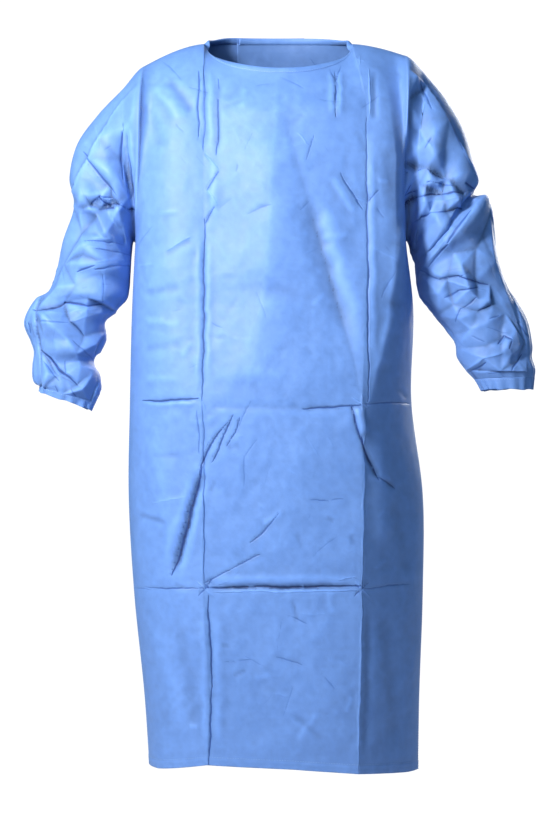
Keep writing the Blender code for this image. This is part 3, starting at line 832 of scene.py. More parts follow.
@dataclass(frozen=True)
class ThreadFinish:
    """Twisted sewing thread."""

    name: str
    colour: tuple[float, float, float]
    twist: float = 900.0

    def material(self) -> bpy.types.Material:
        """Finds or builds the material.

        Returns:
            The material.
        """
        found = bpy.data.materials.get(self.name)
        if found is not None:
            return found
        made = bpy.data.materials.new(self.name)
        made.use_nodes = True
        work = NodeWork(made.node_tree)
        shader = made.node_tree.nodes["Principled BSDF"]
        place = work.add("ShaderNodeTexCoord").outputs["Object"]
        fleck = work.noise(place, self.twist, 2)
        dark = tuple(0.7 * c for c in self.colour)
        colour = work.blend(fleck, (*dark, 1.0), (*self.colour, 1.0))
        work.feed(shader.inputs["Base Color"], colour)
        shader.inputs["Roughness"].default_value = 0.6
        shader.inputs["Sheen Weight"].default_value = 0.2
        return made


CLOTH = ClothFinish("nonwoven_cloth", (0.155, 0.305, 0.690), (0.130, 0.265, 0.620))
TAPE = ClothFinish(
    "bias_tape",
    (0.145, 0.290, 0.660),
    (0.118, 0.246, 0.590),
    pitch=0.0012,
    crinkle=0.35,
    relief=0.0005,
)
PILE = PileFinish("loop_pile", (0.72, 0.78, 0.88))
THREAD = ThreadFinish("sewing_thread", (0.30, 0.50, 0.88))


@dataclass(frozen=True)
class BodyRow:
    """The body's outline and depths at one height."""

    drop: float
    left: float
    right: float
    crease_left: float
    crease_right: float
    front: float
    back: float
    sag: float
    flatness: float
    fullness: float


@dataclass(frozen=True)
class SleeveRow:
    """One section of a sleeve, as its inner and outer edges are seen from in front."""

    inner_x: float
    inner_drop: float
    outer_x: float
    outer_drop: float
    depth: float
    forward: float


BODY_ROWS = (
    BodyRow(0.00, -0.217, 0.217, -0.117, 0.128, 0.088, 0.080, 0.020, 0.10, 2.0),
    BodyRow(0.11, -0.221, 0.216, -0.118, 0.149, 0.120, 0.112, 0.022, 0.08, 3.0),
    BodyRow(0.20, -0.223, 0.210, -0.117, 0.147, 0.140, 0.128, 0.020, 0.05, 3.6),
    BodyRow(0.33, -0.232, 0.217, -0.117, 0.146, 0.153, 0.132, 0.018, 0.08, 3.6),
    BodyRow(0.43, -0.237, 0.229, -0.118, 0.145, 0.163, 0.131, 0.016, 0.18, 3.0),
    BodyRow(0.595, -0.241, 0.227, -0.118, 0.141, 0.184, 0.130, 0.014, 0.45, 2.1),
    BodyRow(0.75, -0.243, 0.246, -0.117, 0.141, 0.182, 0.132, 0.012, 0.55, 2.0),
    BodyRow(0.91, -0.234, 0.246, -0.115, 0.140, 0.178, 0.136, 0.010, 0.60, 2.0),
    BodyRow(1.09, -0.216, 0.240, -0.106, 0.137, 0.168, 0.140, 0.010, 0.60, 2.0),
    BodyRow(1.21, -0.208, 0.238, -0.110, 0.135, 0.160, 0.142, 0.010, 0.60, 2.0),
)
HEM_X = (-0.24, -0.19, -0.11, 0.03, 0.13, 0.22)
HEM_LOWER = (-0.002, 0.000, -0.012, -0.006, 0.002, 0.011)
LEFT_ROWS = (
    SleeveRow(-0.2380, 0.337, -0.253, 0.073, 0.070, 0.000),
    SleeveRow(-0.2385, 0.345, -0.295, 0.117, 0.084, 0.000),
    SleeveRow(-0.2390, 0.355, -0.329, 0.165, 0.072, 0.002),
    SleeveRow(-0.2395, 0.365, -0.342, 0.222, 0.080, 0.004),
    SleeveRow(-0.2400, 0.377, -0.333, 0.268, 0.068, 0.006),
    SleeveRow(-0.2410, 0.390, -0.352, 0.325, 0.076, 0.009),
    SleeveRow(-0.2425, 0.405, -0.362, 0.372, 0.066, 0.012),
    SleeveRow(-0.2470, 0.424, -0.374, 0.408, 0.071, 0.016),
    SleeveRow(-0.2660, 0.446, -0.398, 0.426, 0.059, 0.020),
    SleeveRow(-0.2820, 0.462, -0.415, 0.462, 0.066, 0.025),
    SleeveRow(-0.2800, 0.488, -0.404, 0.493, 0.058, 0.029),
    SleeveRow(-0.2870, 0.508, -0.398, 0.512, 0.059, 0.033),
    SleeveRow(-0.3000, 0.527, -0.400, 0.533, 0.047, 0.037),
    SleeveRow(-0.2900, 0.552, -0.400, 0.552, 0.054, 0.041),
    SleeveRow(-0.2880, 0.575, -0.396, 0.563, 0.050, 0.045),
    SleeveRow(-0.2960, 0.596, -0.388, 0.567, 0.042, 0.048),
)
RIGHT_ROWS = (
    SleeveRow(0.2240, 0.337, 0.248, 0.046, 0.070, 0.000),
    SleeveRow(0.2255, 0.344, 0.283, 0.088, 0.084, 0.000),
    SleeveRow(0.2275, 0.350, 0.311, 0.135, 0.073, 0.002),
    SleeveRow(0.2295, 0.356, 0.327, 0.185, 0.082, 0.004),
    SleeveRow(0.2325, 0.363, 0.335, 0.230, 0.080, 0.006),
    SleeveRow(0.2330, 0.370, 0.331, 0.250, 0.069, 0.008),
    SleeveRow(0.2335, 0.378, 0.356, 0.260, 0.077, 0.010),
    SleeveRow(0.2345, 0.388, 0.365, 0.305, 0.069, 0.012),
    SleeveRow(0.2355, 0.401, 0.370, 0.355, 0.075, 0.015),
    SleeveRow(0.2420, 0.424, 0.385, 0.403, 0.065, 0.019),
    SleeveRow(0.2620, 0.448, 0.402, 0.430, 0.070, 0.023),
    SleeveRow(0.2820, 0.473, 0.418, 0.462, 0.060, 0.028),
    SleeveRow(0.2980, 0.498, 0.425, 0.500, 0.062, 0.033),
    SleeveRow(0.3010, 0.521, 0.424, 0.520, 0.054, 0.037),
    SleeveRow(0.3140, 0.541, 0.429, 0.539, 0.053, 0.042),
    SleeveRow(0.3290, 0.557, 0.428, 0.553, 0.043, 0.046),
)
LEFT_CUFF_EDGE = SleeveRow(-0.3020, 0.609, -0.388, 0.577, 0.039, 0.050)
RIGHT_CUFF_EDGE = SleeveRow(0.3400, 0.576, 0.425, 0.573, 0.039, 0.048)


@dataclass(frozen=True)
class FacetRow:
    """How the front bends into flat facets at one drop, in millimetres: places across
    and heights of a crest, a valley, the right crease and a bend in the right strip."""

    drop: float
    crest_x: float
    crest: float
    valley_x: float
    valley: float
    crease: float
    strip_x: float
    strip: float


FACETS = (
    FacetRow(50, 5, 0.0, 30, 0.0, 0.0, 180, 0.0),
    FacetRow(150, 1, 2.6, 22, -0.5, 2.0, 190, 4.0),
    FacetRow(200, -4, 3.6, 34, -1.4, 3.0, 194, 6.5),
    FacetRow(300, -8, 4.4, 62, -2.4, 5.0, 192, 7.5),
    FacetRow(400, -14, 4.6, 92, -3.0, 5.5, 186, 7.0),
    FacetRow(480, -24, 4.5, 114, -3.0, 4.5, 176, 7.0),
    FacetRow(550, -40, 3.5, 132, -1.5, 2.0, 160, 5.0),
    FacetRow(592, -50, 0.6, 138, 0.0, 0.0, 152, 1.0),
    FacetRow(620, -50, 0.0, 138, 0.0, 0.0, 152, 0.0),
)
FACET_EDGES = (-117.0, 147.0, 216.0)


def facet_relief(x: Array, drop: Array) -> Array:
    """Works out the facets that the upper front bends into.

    Args:
        x: Places across, in metres.
        drop: Places down, in metres.

    Returns:
        Heights in metres, with crisp bends.
    """
    x, drop = x / MM, drop / MM
    table = as_table(FACETS)
    values = [np.interp(drop, table[:, 0], table[:, k]) for k in range(1, 8)]
    crest_x, crest, valley_x, valley, crease, strip_x, strip = values
    left, middle, right = (np.full(x.shape, edge) for edge in FACET_EDGES)
    zero = np.zeros(x.shape)
    stops = (
        (left, zero, crest_x, crest),
        (crest_x, crest, valley_x, valley),
        (valley_x, valley, middle, crease),
        (middle, crease, strip_x, strip),
        (strip_x, strip, right, zero),
    )
    found = np.zeros(x.shape)
    for start, low, end, high in stops:
        inside = (x >= start) & (x < end)
        share = (x - start) / (end - start)
        found = np.where(inside, low + (high - low) * share, found)
    return found * MM


def as_table(rows: tuple) -> Array:
    """Puts rows of named values into one array.

    Args:
        rows: Dataclass rows with the same fields.

    Returns:
        A line for each row.
    """
    return np.array([list(vars(row).values()) for row in rows])


@dataclass(frozen=True)
class GownForm:
    """The gown's filled-out form without its wrinkles, the same as the solids'."""

    underarm: float = 0.330
    hem: float = 1.194
    hem_swing: float = 0.08
    shoulder_rounding: float = 0.10
    neckline_rounding: float = 0.075
    neck_point_drop: float = -0.002
    front_neck_drop: float = 0.056
    back_neck_rise: float = 0.010
    front_neck_reach: float = 0.088
    back_neck_reach: float = 0.075
    left_tip: float = 0.036
    right_tip: float = 0.018
    slope_power: float = 1.6
    armhole_half: float = 0.086
    armhole_widest: float = 0.17
    armhole_spreads: int = 3
    left_fullness: float = 2.7
    left_flatness: float = 0.35
    overlap: float = 0.060
    overlap_lift: float = 0.0065
    lift_starts: float = 0.055

    def section(self, drop: Array) -> Array:
        """Reads the body's section.

        Args:
            drop: Drops of any shape.

        Returns:
            The section's nine values, first axis, at each drop.
        """
        table = as_table(BODY_ROWS)
        found = smooth_read(table[:, 0], table[:, 1:], np.asarray(drop, float))
        return np.moveaxis(found, -1, 0)

    def top(self, face: Face, zone: Array, share: Array) -> Array:
        """Works out the drop of a panel's top edge.

        Args:
            face: Front or back.
            zone: Side strip or middle, for each place.
            share: How far across its zone each place is.

        Returns:
            The drop of the shoulder seam or neckline there.
        """
        dip = self.front_neck_drop if face == Face.FRONT else -self.back_neck_rise
        bow = np.sqrt(np.maximum(0.0, 1 - share * share))
        tip = np.where(zone < 0, self.left_tip, self.right_tip)
        slope = (tip - self.neck_point_drop) * np.abs(share) ** self.slope_power
        return self.neck_point_drop + np.where(zone == 0, dip * bow, slope)

    def across(self, zone: Array, share: Array, drop: Array) -> Array:
        """Works out how far across a column is.

        Args:
            zone: Side strip or middle.
            share: How far across its zone.
            drop: Its drop.

        Returns:
            x in metres.
        """
        left, right, crease_left, crease_right = self.section(drop)[:4]
        middle = crease_left + (crease_right - crease_left) * (share + 1) / 2
        to_left = crease_left + (left - crease_left) * share
        to_right = crease_right + (right - crease_right) * share
        return np.where(zone < 0, to_left, np.where(zone > 0, to_right, middle))

    def reach(self, face: Face, zone: Array, share: Array, drop: Array) -> Array:
        """Works out how far a face stands from the plane of the side seams.

        Args:
            face: Front or back.
            zone: Side strip or middle.
            share: How far across its zone.
            drop: Its drop.

        Returns:
            The distance without the rounding at the top.
        """
        row = self.section(drop)
        middle = row[4] if face == Face.FRONT else row[5]
        sag, flatness = row[6], row[7]
        power = np.where(zone < 0, self.left_fullness, row[8])
        flat = flatness * np.where(zone < 0, self.left_flatness, 1.0)
        near = np.clip(share, 0.0, 1.0)
        turned = flat * (1 - near) + (1 - flat) * (1 - near**power) ** (1 / power)
        panel = (middle - sag) * turned
        span = self.underarm - self.armhole_widest
        low = np.clip((drop - self.armhole_widest) / span, 0.0, 1.0)
        edge = self.armhole_half * np.sqrt(1 - low * low) * near**self.armhole_spreads
        spreads = self.armhole_spreads
        side = (panel**spreads + edge**spreads) ** (1 / spreads)
        return np.where(zone == 0, middle - sag * share * share, side)

    def place(self, face: Face, zone: Array, share: Array, drop: Array) -> Array:
        """Finds points of the form.

        Args:
            face: Front or back.
            zone: Side strip or middle.
            share: How far across its zone.
            drop: Its drop.

        Returns:
            The points.
        """
        zone, share, drop = np.broadcast_arrays(zone, share, drop)
        middle = zone == 0
        inward = np.where(middle, np.abs(share) ** 3, 1.0)
        neck = self.front_neck_reach if face == Face.FRONT else self.back_neck_reach
        start = np.where(middle, neck * np.sqrt(np.maximum(0.0, 1 - share**2)), 0.0)
        radius = self.neckline_rounding
        radius = radius + (self.shoulder_rounding - radius) * inward
        below = np.clip((drop - self.top(face, zone, share)) / radius, 0.0, 1.0)
        rounding = (1 - (1 - below) ** 2) ** (1 - 0.5 * inward)
        out = start + (self.reach(face, zone, share, drop) - start) * rounding
        return np.stack([self.across(zone, share, drop), face * out, -drop], axis=-1)

    def on_back(self, x: Array, drop: Array) -> tuple[Array, Array]:
        """Finds points of the back and the way out of the cloth there.

        Args:
            x: Places across.
            drop: Drops of the same shape.

        Returns:
            The points and the unit normals.
        """

        def point(px: Array, pdrop: Array) -> Array:
            left, right, crease_left, crease_right = self.section(pdrop)[:4]
            zone = np.where(px < crease_left, -1, np.where(px > crease_right, 1, 0))
            share = 2 * (px - crease_left) / (crease_right - crease_left) - 1
            outer = np.where(px < 0, crease_left, crease_right)
            end = np.where(px < 0, left, right)
            share = np.where(zone == 0, share, (px - outer) / (end - outer))
            return self.place(Face.BACK, zone, share, pdrop)

        step = 0.004
        across = point(x + step, drop) - point(x - step, drop)
        down = point(x, drop + step) - point(x, drop - step)
        return point(x, drop), unit(np.cross(across, down))

    def flap_lift(self, x: Array, side: Side) -> Array:
        """Works out how far the cloth's outside stands off the back form.

        Args:
            x: Places across.
            side: LEFT on the outer panel, RIGHT for what steps up onto it.

        Returns:
            The lift.
        """
        if side == Side.RIGHT:
            down = ease(x, self.overlap + 0.004, self.overlap + 0.030)
            return self.overlap_lift * (1 - down)
        start = -self.overlap - self.lift_starts
        return self.overlap_lift * ease(x, start, -self.overlap)


@dataclass(frozen=True)
class Shell:
    """A thin cloth wall. Its outside is a fine grid and its inside one half as fine."""

    name: str
    outer: Array
    outward: int
    thickness: float
    wrap: bool = False
    grain: Array | None = None
    relief: Array | None = None
    creases: Array | None = None
    # Painted shade: how much darker the inside of the cloth is painted.
    inside_painted_shade: float = 0.6

    def normals(self) -> Array:
        """Works out the unit normals of the outside, one for each point."""
        grid = self.outer
        if self.wrap:
            across = np.roll(grid, -1, axis=1) - np.roll(grid, 1, axis=1)
        else:
            across = np.gradient(grid, axis=1)
        down = np.gradient(grid, axis=0)
        return unit(self.outward * np.cross(down, across))

    def _rims(self, outer: Array, inner: Array) -> list[list[int]]:
        """Lists the rim's faces.

        Args:
            outer: The outside's point numbers.
            inner: The inside's point numbers.

        Returns:
            Triangles that close the shell's edges.
        """
        pairs = [(outer[0], inner[0]), (outer[-1][::-1], inner[-1][::-1])]
        if self.wrap:
            pairs = [(np.append(o, o[0]), np.append(i, i[0])) for o, i in pairs]
        else:
            pairs.append((outer[::-1, 0], inner[::-1, 0]))
            pairs.append((outer[:, -1], inner[:, -1]))
        faces = []
        for out, low in pairs:
            for k in range(len(low) - 1):
                faces.append([out[2 * k], out[2 * k + 1], low[k]])
                faces.append([out[2 * k + 1], out[2 * k + 2], low[k + 1]])
                faces.append([out[2 * k + 1], low[k + 1], low[k]])
        return faces

    def _quads(self, numbers: Array, turned: bool) -> Array:
        """Lists the faces of one side.

        Args:
            numbers: The point numbers of its grid.
            turned: True to turn the faces round.

        Returns:
            Four point numbers a face.
        """
        if self.wrap:
            numbers = np.concatenate([numbers, numbers[:, :1]], axis=1)
        quads = np.stack(
            [numbers[:-1, :-1], numbers[1:, :-1], numbers[1:, 1:], numbers[:-1, 1:]], -1
        ).reshape(-1, 4)
        return quads[:, ::-1] if turned else quads

    def build(self, material: bpy.types.Material) -> bpy.types.Object:
        """Makes the shell.

        Args:
            material: Its finish.

        Returns:
            The piece.
        """
        out_normals = self.normals()
        inside = (self.outer - out_normals * self.thickness)[::2, ::2]
        outer = np.arange(self.outer[..., 0].size).reshape(self.outer.shape[:2])
        inner = outer.size + np.arange(inside[..., 0].size).reshape(inside.shape[:2])
        quads = np.concatenate([self._quads(outer, False), self._quads(inner, True)])
        faces = quads.tolist() + self._rims(outer, inner)
        if self.outward < 0:
            faces = [face[::-1] for face in faces]
        points = np.concatenate([self.outer.reshape(-1, 3), inside.reshape(-1, 3)])
        mesh = bpy.data.meshes.new(self.name)
        mesh.from_pydata(points.tolist(), [], faces)
        mesh.shade_smooth()
        self._lay_grain(mesh)
        self._mark_folds(mesh)
        mesh.materials.append(material)
        piece = bpy.data.objects.new(self.name, mesh)
        bpy.context.scene.collection.objects.link(piece)
        return piece

    def _lay_grain(self, mesh: bpy.types.Mesh) -> None:
        """Gives the mesh its UV map, in metres of cloth.

        Args:
            mesh: The shell's mesh.
        """
        plain = self.outer if self.grain is None else self.grain
        v = run_lengths(plain, 0)
        u = np.broadcast_to(run_lengths(plain, 1).mean(axis=0), v.shape)
        round_length = float(u[0, -1])
        flat = np.stack([u, v], -1)
        flat = np.concatenate([flat.reshape(-1, 2), flat[::2, ::2].reshape(-1, 2)])
        corners = np.zeros(len(mesh.loops), np.int32)
        mesh.loops.foreach_get("vertex_index", corners)
        places = flat[corners]
        if self.wrap:
            starts = np.zeros(len(mesh.polygons), np.int32)
            sizes = np.zeros(len(mesh.polygons), np.int32)
            mesh.polygons.foreach_get("loop_start", starts)
            mesh.polygons.foreach_get("loop_total", sizes)
            widest = np.repeat(np.maximum.reduceat(places[:, 0], starts), sizes)
            places[widest - places[:, 0] > round_length / 2, 0] += round_length
        layer = mesh.uv_layers.new(name="cloth")
        layer.data.foreach_set("uv", places.astype(np.float32).ravel())


    def _mark_folds(self, mesh: bpy.types.Mesh) -> None:
        """Marks how far each point lies above or in its surroundings, from -1 to 1, for
        the material to paint shade into the folds' hollows and light onto their ridges.

        Args:
            mesh: The shell's mesh.
        """
        if self.relief is None:
            return
        spread = self.relief / MM
        for _ in range(6):
            for axis in (0, 1):
                around = np.roll(spread, 1, axis=axis) + np.roll(spread, -1, axis=axis)
                spread = (spread + around) / 3
        # Painted shade and light: below 0 in the hollows the material darkens the colour, above 0 on
        # the ridges it lightens it.
        painted_fold_shading = np.clip((self.relief / MM - spread) / 1.4, -1.0, 0.5)
        painted_fold_shading[0], painted_fold_shading[-1] = 0.0, 0.0
        if not self.wrap:
            painted_fold_shading[:, 0], painted_fold_shading[:, -1] = 0.0, 0.0
        # Painted shade on the inside of the cloth.
        inside = painted_fold_shading[::2, ::2] - self.inside_painted_shade
        marks = np.concatenate([painted_fold_shading.ravel(), inside.ravel()])
        layer = mesh.attributes.new("fold", "FLOAT", "POINT")
        layer.data.foreach_set("value", marks.astype(np.float32))
        for k, marks in enumerate(self.creases):
            marks = np.concatenate([marks.reshape(-1, 3), marks[::2, ::2].reshape(-1, 3)])
            layer = mesh.attributes.new(f"crease {k + 1}", "FLOAT_VECTOR", "POINT")
            layer.data.foreach_set("vector", marks.astype(np.float32).ravel())


@dataclass(frozen=True)
class Cut:
    """A piece's cut, laid flat."""

    width: float
    length: float
    area: float
    held: Held = Held.DRAPED


def hand_over(
    piece: bpy.types.Object,
    nodes: tuple[str, ...],
) -> bpy.types.Object:
    """Sets a piece on the gown's body and hides the solids that it replaces.

    Args:
        piece: The piece.
        nodes: The solids that it replaces.

    Returns:
        The piece.
    """
    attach(piece, "root")
    if nodes:
        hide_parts(*nodes)
    log.info("%s: %d faces", piece.name, len(piece.data.polygons))
    return piece


def dense_steps(
    start: float, end: float, count: int, length: Array, lines: tuple[float, ...]
) -> Array:
    """Spaces columns or rows evenly over the cloth, and closer beside its creases.

    Args:
        start: The first place.
        end: The last place.
        count: How many places.
        length: Cloth length for each step of a fine even ruler from start to end.
        lines: The creases' places.

    Returns:
        The places.
    """
    ruler = np.linspace(start, end, len(length) + 1)
    middle = (ruler[1:] + ruler[:-1]) / 2
    total = np.concatenate([[0.0], np.cumsum(length)])
    weight = length.copy()
    for line in lines:
        at = np.interp(line, ruler, total)
        away = (np.interp(middle, ruler, total) - at) / 0.009
        weight *= 1 + 1.8 * np.exp(-away * away)
    run = np.concatenate([[0.0], np.cumsum(weight)])
    return np.interp(np.linspace(0, run[-1], count), run, ruler)


@dataclass
class BodyPanel:
    """A front or back panel, from its neck and shoulder edge to the hem."""

    name: str
    node: str
    face: Face
    wrinkling: Wrinkling
    cut: Cut
    start: float = -2.0
    end: float = 2.0
    columns: int = 217
    upper_rows: int = 100
    lower_rows: int = 260
    thickness: float = 0.0006
    seam_fade: float = 0.014
    hem_depth: float = 0.017
    hem_rise: float = 0.0005
    outer_flap: bool = False
    grid: Array = field(default=None, repr=False)
    plain: Array = field(default=None, repr=False)
    raised: Array = field(default=None, repr=False)
    creases: Array = field(default=None, repr=False)

    def _column_places(self, form: GownForm) -> tuple[Array, Array]:
        """Spaces the columns.

        Args:
            form: The gown's form.

        Returns:
            Each column's zone and its share across the zone.
        """
        ruler = np.linspace(self.start, self.end, 1500)
        points = form.place(self.face, *zone_share(ruler), np.full(ruler.shape, 0.5))
        length = np.linalg.norm(np.diff(points, axis=0), axis=1)
        places = dense_steps(self.start, self.end, self.columns, length, (-1.0, 1.0))
        return zone_share(places)

    def _row_drops(self, form: GownForm, zone: Array, share: Array) -> Array:
        """Spaces the rows.

        Args:
            form: The gown's form.
            zone: Each column's zone.
            share: Each column's share.

        Returns:
            A drop for each row and column.
        """
        top = form.top(self.face, zone, share)
        part = np.linspace(0, 1, self.upper_rows + 1)[:, None] ** 1.2
        upper = top + (form.underarm - top) * part
        even = np.full(1500, (form.hem - form.underarm) / 1500)
        drops = dense_steps(
            form.underarm, form.hem, self.lower_rows + 1, even, (0.595, 0.91, form.hem)
        )
        lower = np.repeat(drops[1:, None], len(share), axis=1)
        x = form.across(zone, share, np.full(share.shape, form.hem))
        hang = np.interp(x, HEM_X, HEM_LOWER)
        lower += ease(lower, form.hem - form.hem_swing, form.hem) * hang
        return np.concatenate([upper, lower])

    def shape(self, form: GownForm) -> None:
        """Works out the panel's points.

        Args:
            form: The gown's form.
        """
        zone, share = self._column_places(form)
        drop = self._row_drops(form, zone, share)
        plain = form.place(self.face, zone, share, drop)
        shell = Shell(self.name, plain, -self.face, self.thickness)
        normals = shell.normals()
        x = plain[..., 0]
        top_room = drop - form.top(self.face, zone, share)
        left, right = form.section(drop)[:2]
        side_room = np.minimum(x - left, right - x)
        fade = ease(side_room, 0.0, self.seam_fade) * ease(top_room, 0.0, 0.030)
        relief = self.wrinkling.relief(x, drop) * fade
        self.creases = self.wrinkling.lines(x, drop)
        self.creases[..., 2] *= fade
        if self.face == Face.FRONT:
            relief += facet_relief(x, drop)
        hem_room = drop[-1] - drop
        band = 1 - ease(hem_room, self.hem_depth - 0.001, self.hem_depth + 0.001)
        line = np.exp(-(((hem_room - self.hem_depth + 0.002) / 0.0015) ** 2))
        relief += self.hem_rise * band - 0.0006 * line
        if self.outer_flap:
            relief += form.flap_lift(x, Side.LEFT)
        self.plain = plain
        self.raised = relief
        self.grid = plain + normals * relief[..., None]

    def build(self, form: GownForm) -> bpy.types.Object:
        """Makes the panel.

        Args:
            form: The gown's form.

        Returns:
            The piece.
        """
        self.shape(form)
        shell = Shell(
            self.name,
            self.grid,
            -self.face,
            self.thickness,
            grain=self.plain,
            relief=self.raised,
            creases=self.creases,
        )
        piece = shell.build(CLOTH.material())
        nodes = tuple(f"{self.node}_{part}" for part in ("chest", "waist", "skirt"))
        return hand_over(piece, nodes)


def zone_share(place: Array) -> tuple[Array, Array]:
    """Splits a place across the body, from -2 at the left seam to 2 at the right.

    Args:
        place: Places across. The creases are at -1 and 1.

    Returns:
        Each place's zone and its share across the zone.
    """
    zone = np.where(place < -1, -1, np.where(place > 1, 1, 0))
    return zone, np.where(zone == 0, place, np.abs(place) - 1)


def seam_normals(form: GownForm, face: Face, side: Side, drop: Array) -> Array:
    """Works out a panel's normals along its armhole.

    Args:
        form: The gown's form.
        face: Front or back.
        side: Which armhole.
        drop: Drops along it.

    Returns:
        The unit normals.
    """
    zone = np.full(drop.shape, int(side))
    one = np.ones(drop.shape)
    edge = form.place(face, zone, one, drop)
    inward = form.place(face, zone, one - 0.02, drop) - edge
    down = np.gradient(edge, axis=0)
    return unit(face * side * np.cross(down, inward))


@dataclass
class Sleeve:
    """A set-in sleeve with its gathered cuff."""

    word: str
    side: Side
    rows: tuple[SleeveRow, ...]
    cuff_edge: SleeveRow
    wrinkling: Wrinkling
    hidden: Wrinkling
    cut: Cut
    cuff_cut: Cut
    around: int = 208
    turn_rows: int = 16
    rows_down: int = 214
    turn_pull: float = 0.030
    thickness: float = 0.0006
    gathers: int = 15
    gather_depth: float = 0.0022
    edge_swing: float = 0.0012
    cuff_rows: int = 13
    grid: Array = field(default=None, repr=False)
    cuff: Array = field(default=None, repr=False)
    raised: Array = field(default=None, repr=False)
    creases: Array = field(default=None, repr=False)

    def _ring(self, values: Array, angle: Array) -> Array:
        """Finds the points of sections.

        Args:
            values: The section's six values along the last axis.
            angle: Angles round it, from the outer edge by the front.

        Returns:
            Points, a row for each section.
        """
        inner_x, inner_drop, outer_x, outer_drop, depth, forward = (
            values[..., k, None] for k in range(6)
        )
        x = (inner_x + outer_x) / 2 + (outer_x - inner_x) / 2 * np.cos(angle)
        drop = (inner_drop + outer_drop) / 2
        drop = drop + (outer_drop - inner_drop) / 2 * np.cos(angle)
        y = -forward - depth * np.sin(angle)
        return np.stack(np.broadcast_arrays(x, y, -drop), axis=-1)

    def _loop(self, form: GownForm, angle: Array) -> tuple[Array, Array, Array]:
        """Finds the armhole's edge.

        Args:
            form: The gown's form.
            angle: Angles round the sleeve.

        Returns:
            The edge's points, the panels' normals and the way the sleeve leaves.
        """
        zone = np.array(int(self.side))
        one = np.array(1.0)
        folded = np.where(angle <= math.pi, angle, 2 * math.pi - angle)
        top = form.top(Face.FRONT, zone, one)
        drop = top + (form.underarm - top) * (1 - np.cos(folded)) / 2
        fine = np.linspace(0.02, math.pi - 0.02, 400)
        fine_drop = top + (form.underarm - top) * (1 - np.cos(fine)) / 2
        edges, normals = [], []
        for face in (Face.FRONT, Face.BACK):
            edges.append(form.place(face, zone, one, drop))
            found = seam_normals(form, face, self.side, fine_drop)
            read = [np.interp(folded, fine, found[:, k]) for k in range(3)]
            normals.append(np.stack(read, axis=-1))
        front = (angle <= math.pi)[:, None]
        points = np.where(front, edges[0], edges[1])
        ends = np.minimum(folded, math.pi - folded)[:, None]
        share = 0.5 * (1 - ease(ends, 0.0, 0.35))
        own = np.where(front, normals[0], normals[1])
        other = np.where(front, normals[1], normals[0])
        normal = unit(own * (1 - share) + other * share)
        step = np.roll(points, -1, axis=0) - np.roll(points, 1, axis=0)
        leave = -self.side * unit(np.cross(step, normal))
        return points, normal, leave

    def _plain(self, form: GownForm) -> Array:
        """Finds the sleeve's points without wrinkles.

        Args:
            form: The gown's form.

        Returns:
            Rings from just under the armhole's edge to the cuff.
        """
        angle = np.arange(self.around) * 2 * math.pi / self.around
        loop, normal, leave = self._loop(form, angle)
        table = as_table(self.rows)
        keys = np.arange(len(table), dtype=float)
        at = np.linspace(0, len(table) - 1, self.rows_down)
        rings = self._ring(smooth_read(keys, table, at), angle)
        first, second = self._ring(table[:2], angle)
        onward = unit(second - first)
        t = (np.arange(self.turn_rows) / self.turn_rows)[:, None, None]
        turn = (
            (1 + 2 * t) * (1 - t) ** 2 * loop
            + t * (1 - t) ** 2 * self.turn_pull * leave
            + t * t * (3 - 2 * t) * first
            - t * t * (1 - t) * self.turn_pull * onward
        )
        under = loop - leave * 0.0020 - normal * 0.0011
        return np.concatenate([under[None], turn, rings])

    def shape(self, form: GownForm) -> None:
        """Works out the sleeve's and the cuff's points.

        Args:
            form: The gown's form.
        """
        plain = self._plain(form)
        outward = 1 if self.side == Side.LEFT else -1
        normals = Shell(self.word, plain, outward, self.thickness, True).normals()
        x, drop = plain[..., 0], -plain[..., 2]
        shown = self.wrinkling.relief(x, drop)
        unshown = self.hidden.relief(x, drop)
        share = ease(-normals[..., 1], -0.25, 0.30)
        edge = np.abs(2 * share - 1)
        relief = (shown * share + unshown * (1 - share)) * (0.12 + 0.88 * edge)
        front = (share > 0.5)[..., None]
        behind = self.hidden.lines(x, drop)
        self.creases = np.where(front, self.wrinkling.lines(x, drop), behind)
        down = run_lengths(plain, 0)
        length = down[-1].mean()
        to_body = np.clip(-self.side * normals[..., 0], 0.0, 1.0)
        fade = (1 - 0.75 * to_body) * ease(down, 0.003, 0.020)
        relief *= fade
        self.creases[..., 2] *= fade * edge
        angle = np.arange(self.around) * 2 * math.pi / self.around
        wave = self._gather_wave(angle)
        near_cuff = ease(down, length - 0.050, length)
        relief = relief * (1 - 0.3 * near_cuff) + 0.0011 * wave * near_cuff
        self.grid = plain + normals * relief[..., None]
        self.raised = relief
        self._shape_cuff(angle, wave)

    def _gather_wave(self, angle: Array) -> Array:
        """Works out the uneven gathers round the wrist.

        Args:
            angle: Angles round the cuff.

        Returns:
            The wave, from -1 to 1.
        """
        drift = 0.55 * np.sin(2 * angle + 0.7) + 0.35 * np.sin(5 * angle + self.side)
        main = np.sin(self.gathers * angle + 2.1 * drift)
        height = 0.75 + 0.25 * np.sin(3 * angle + 1.3)
        return main * height

    def _shape_cuff(self, angle: Array, wave: Array) -> None:
        """Works out the cuff's points from the sleeve's last ring.

        Args:
            angle: Angles round the cuff.
            wave: The gathers.
        """
        edge = self._ring(as_table((self.cuff_edge,)), angle)[0]
        start = self.grid[-1]
        middle = start.mean(axis=0)
        out = unit(start - middle)
        swing = np.sin(2 * angle + 0.4) + 0.6 * np.sin(7 * angle + self.side) + 0.3 * wave
        edge = edge + unit(edge - start) * (self.edge_swing * swing)[:, None]
        rows = []
        for k in range(self.cuff_rows):
            part = k / (self.cuff_rows - 1)
            ring = start * (1 - part) + edge * part
            flare = self.gather_depth * wave * part
            rows.append(ring + out * flare[:, None])
        self.cuff = np.array(rows)

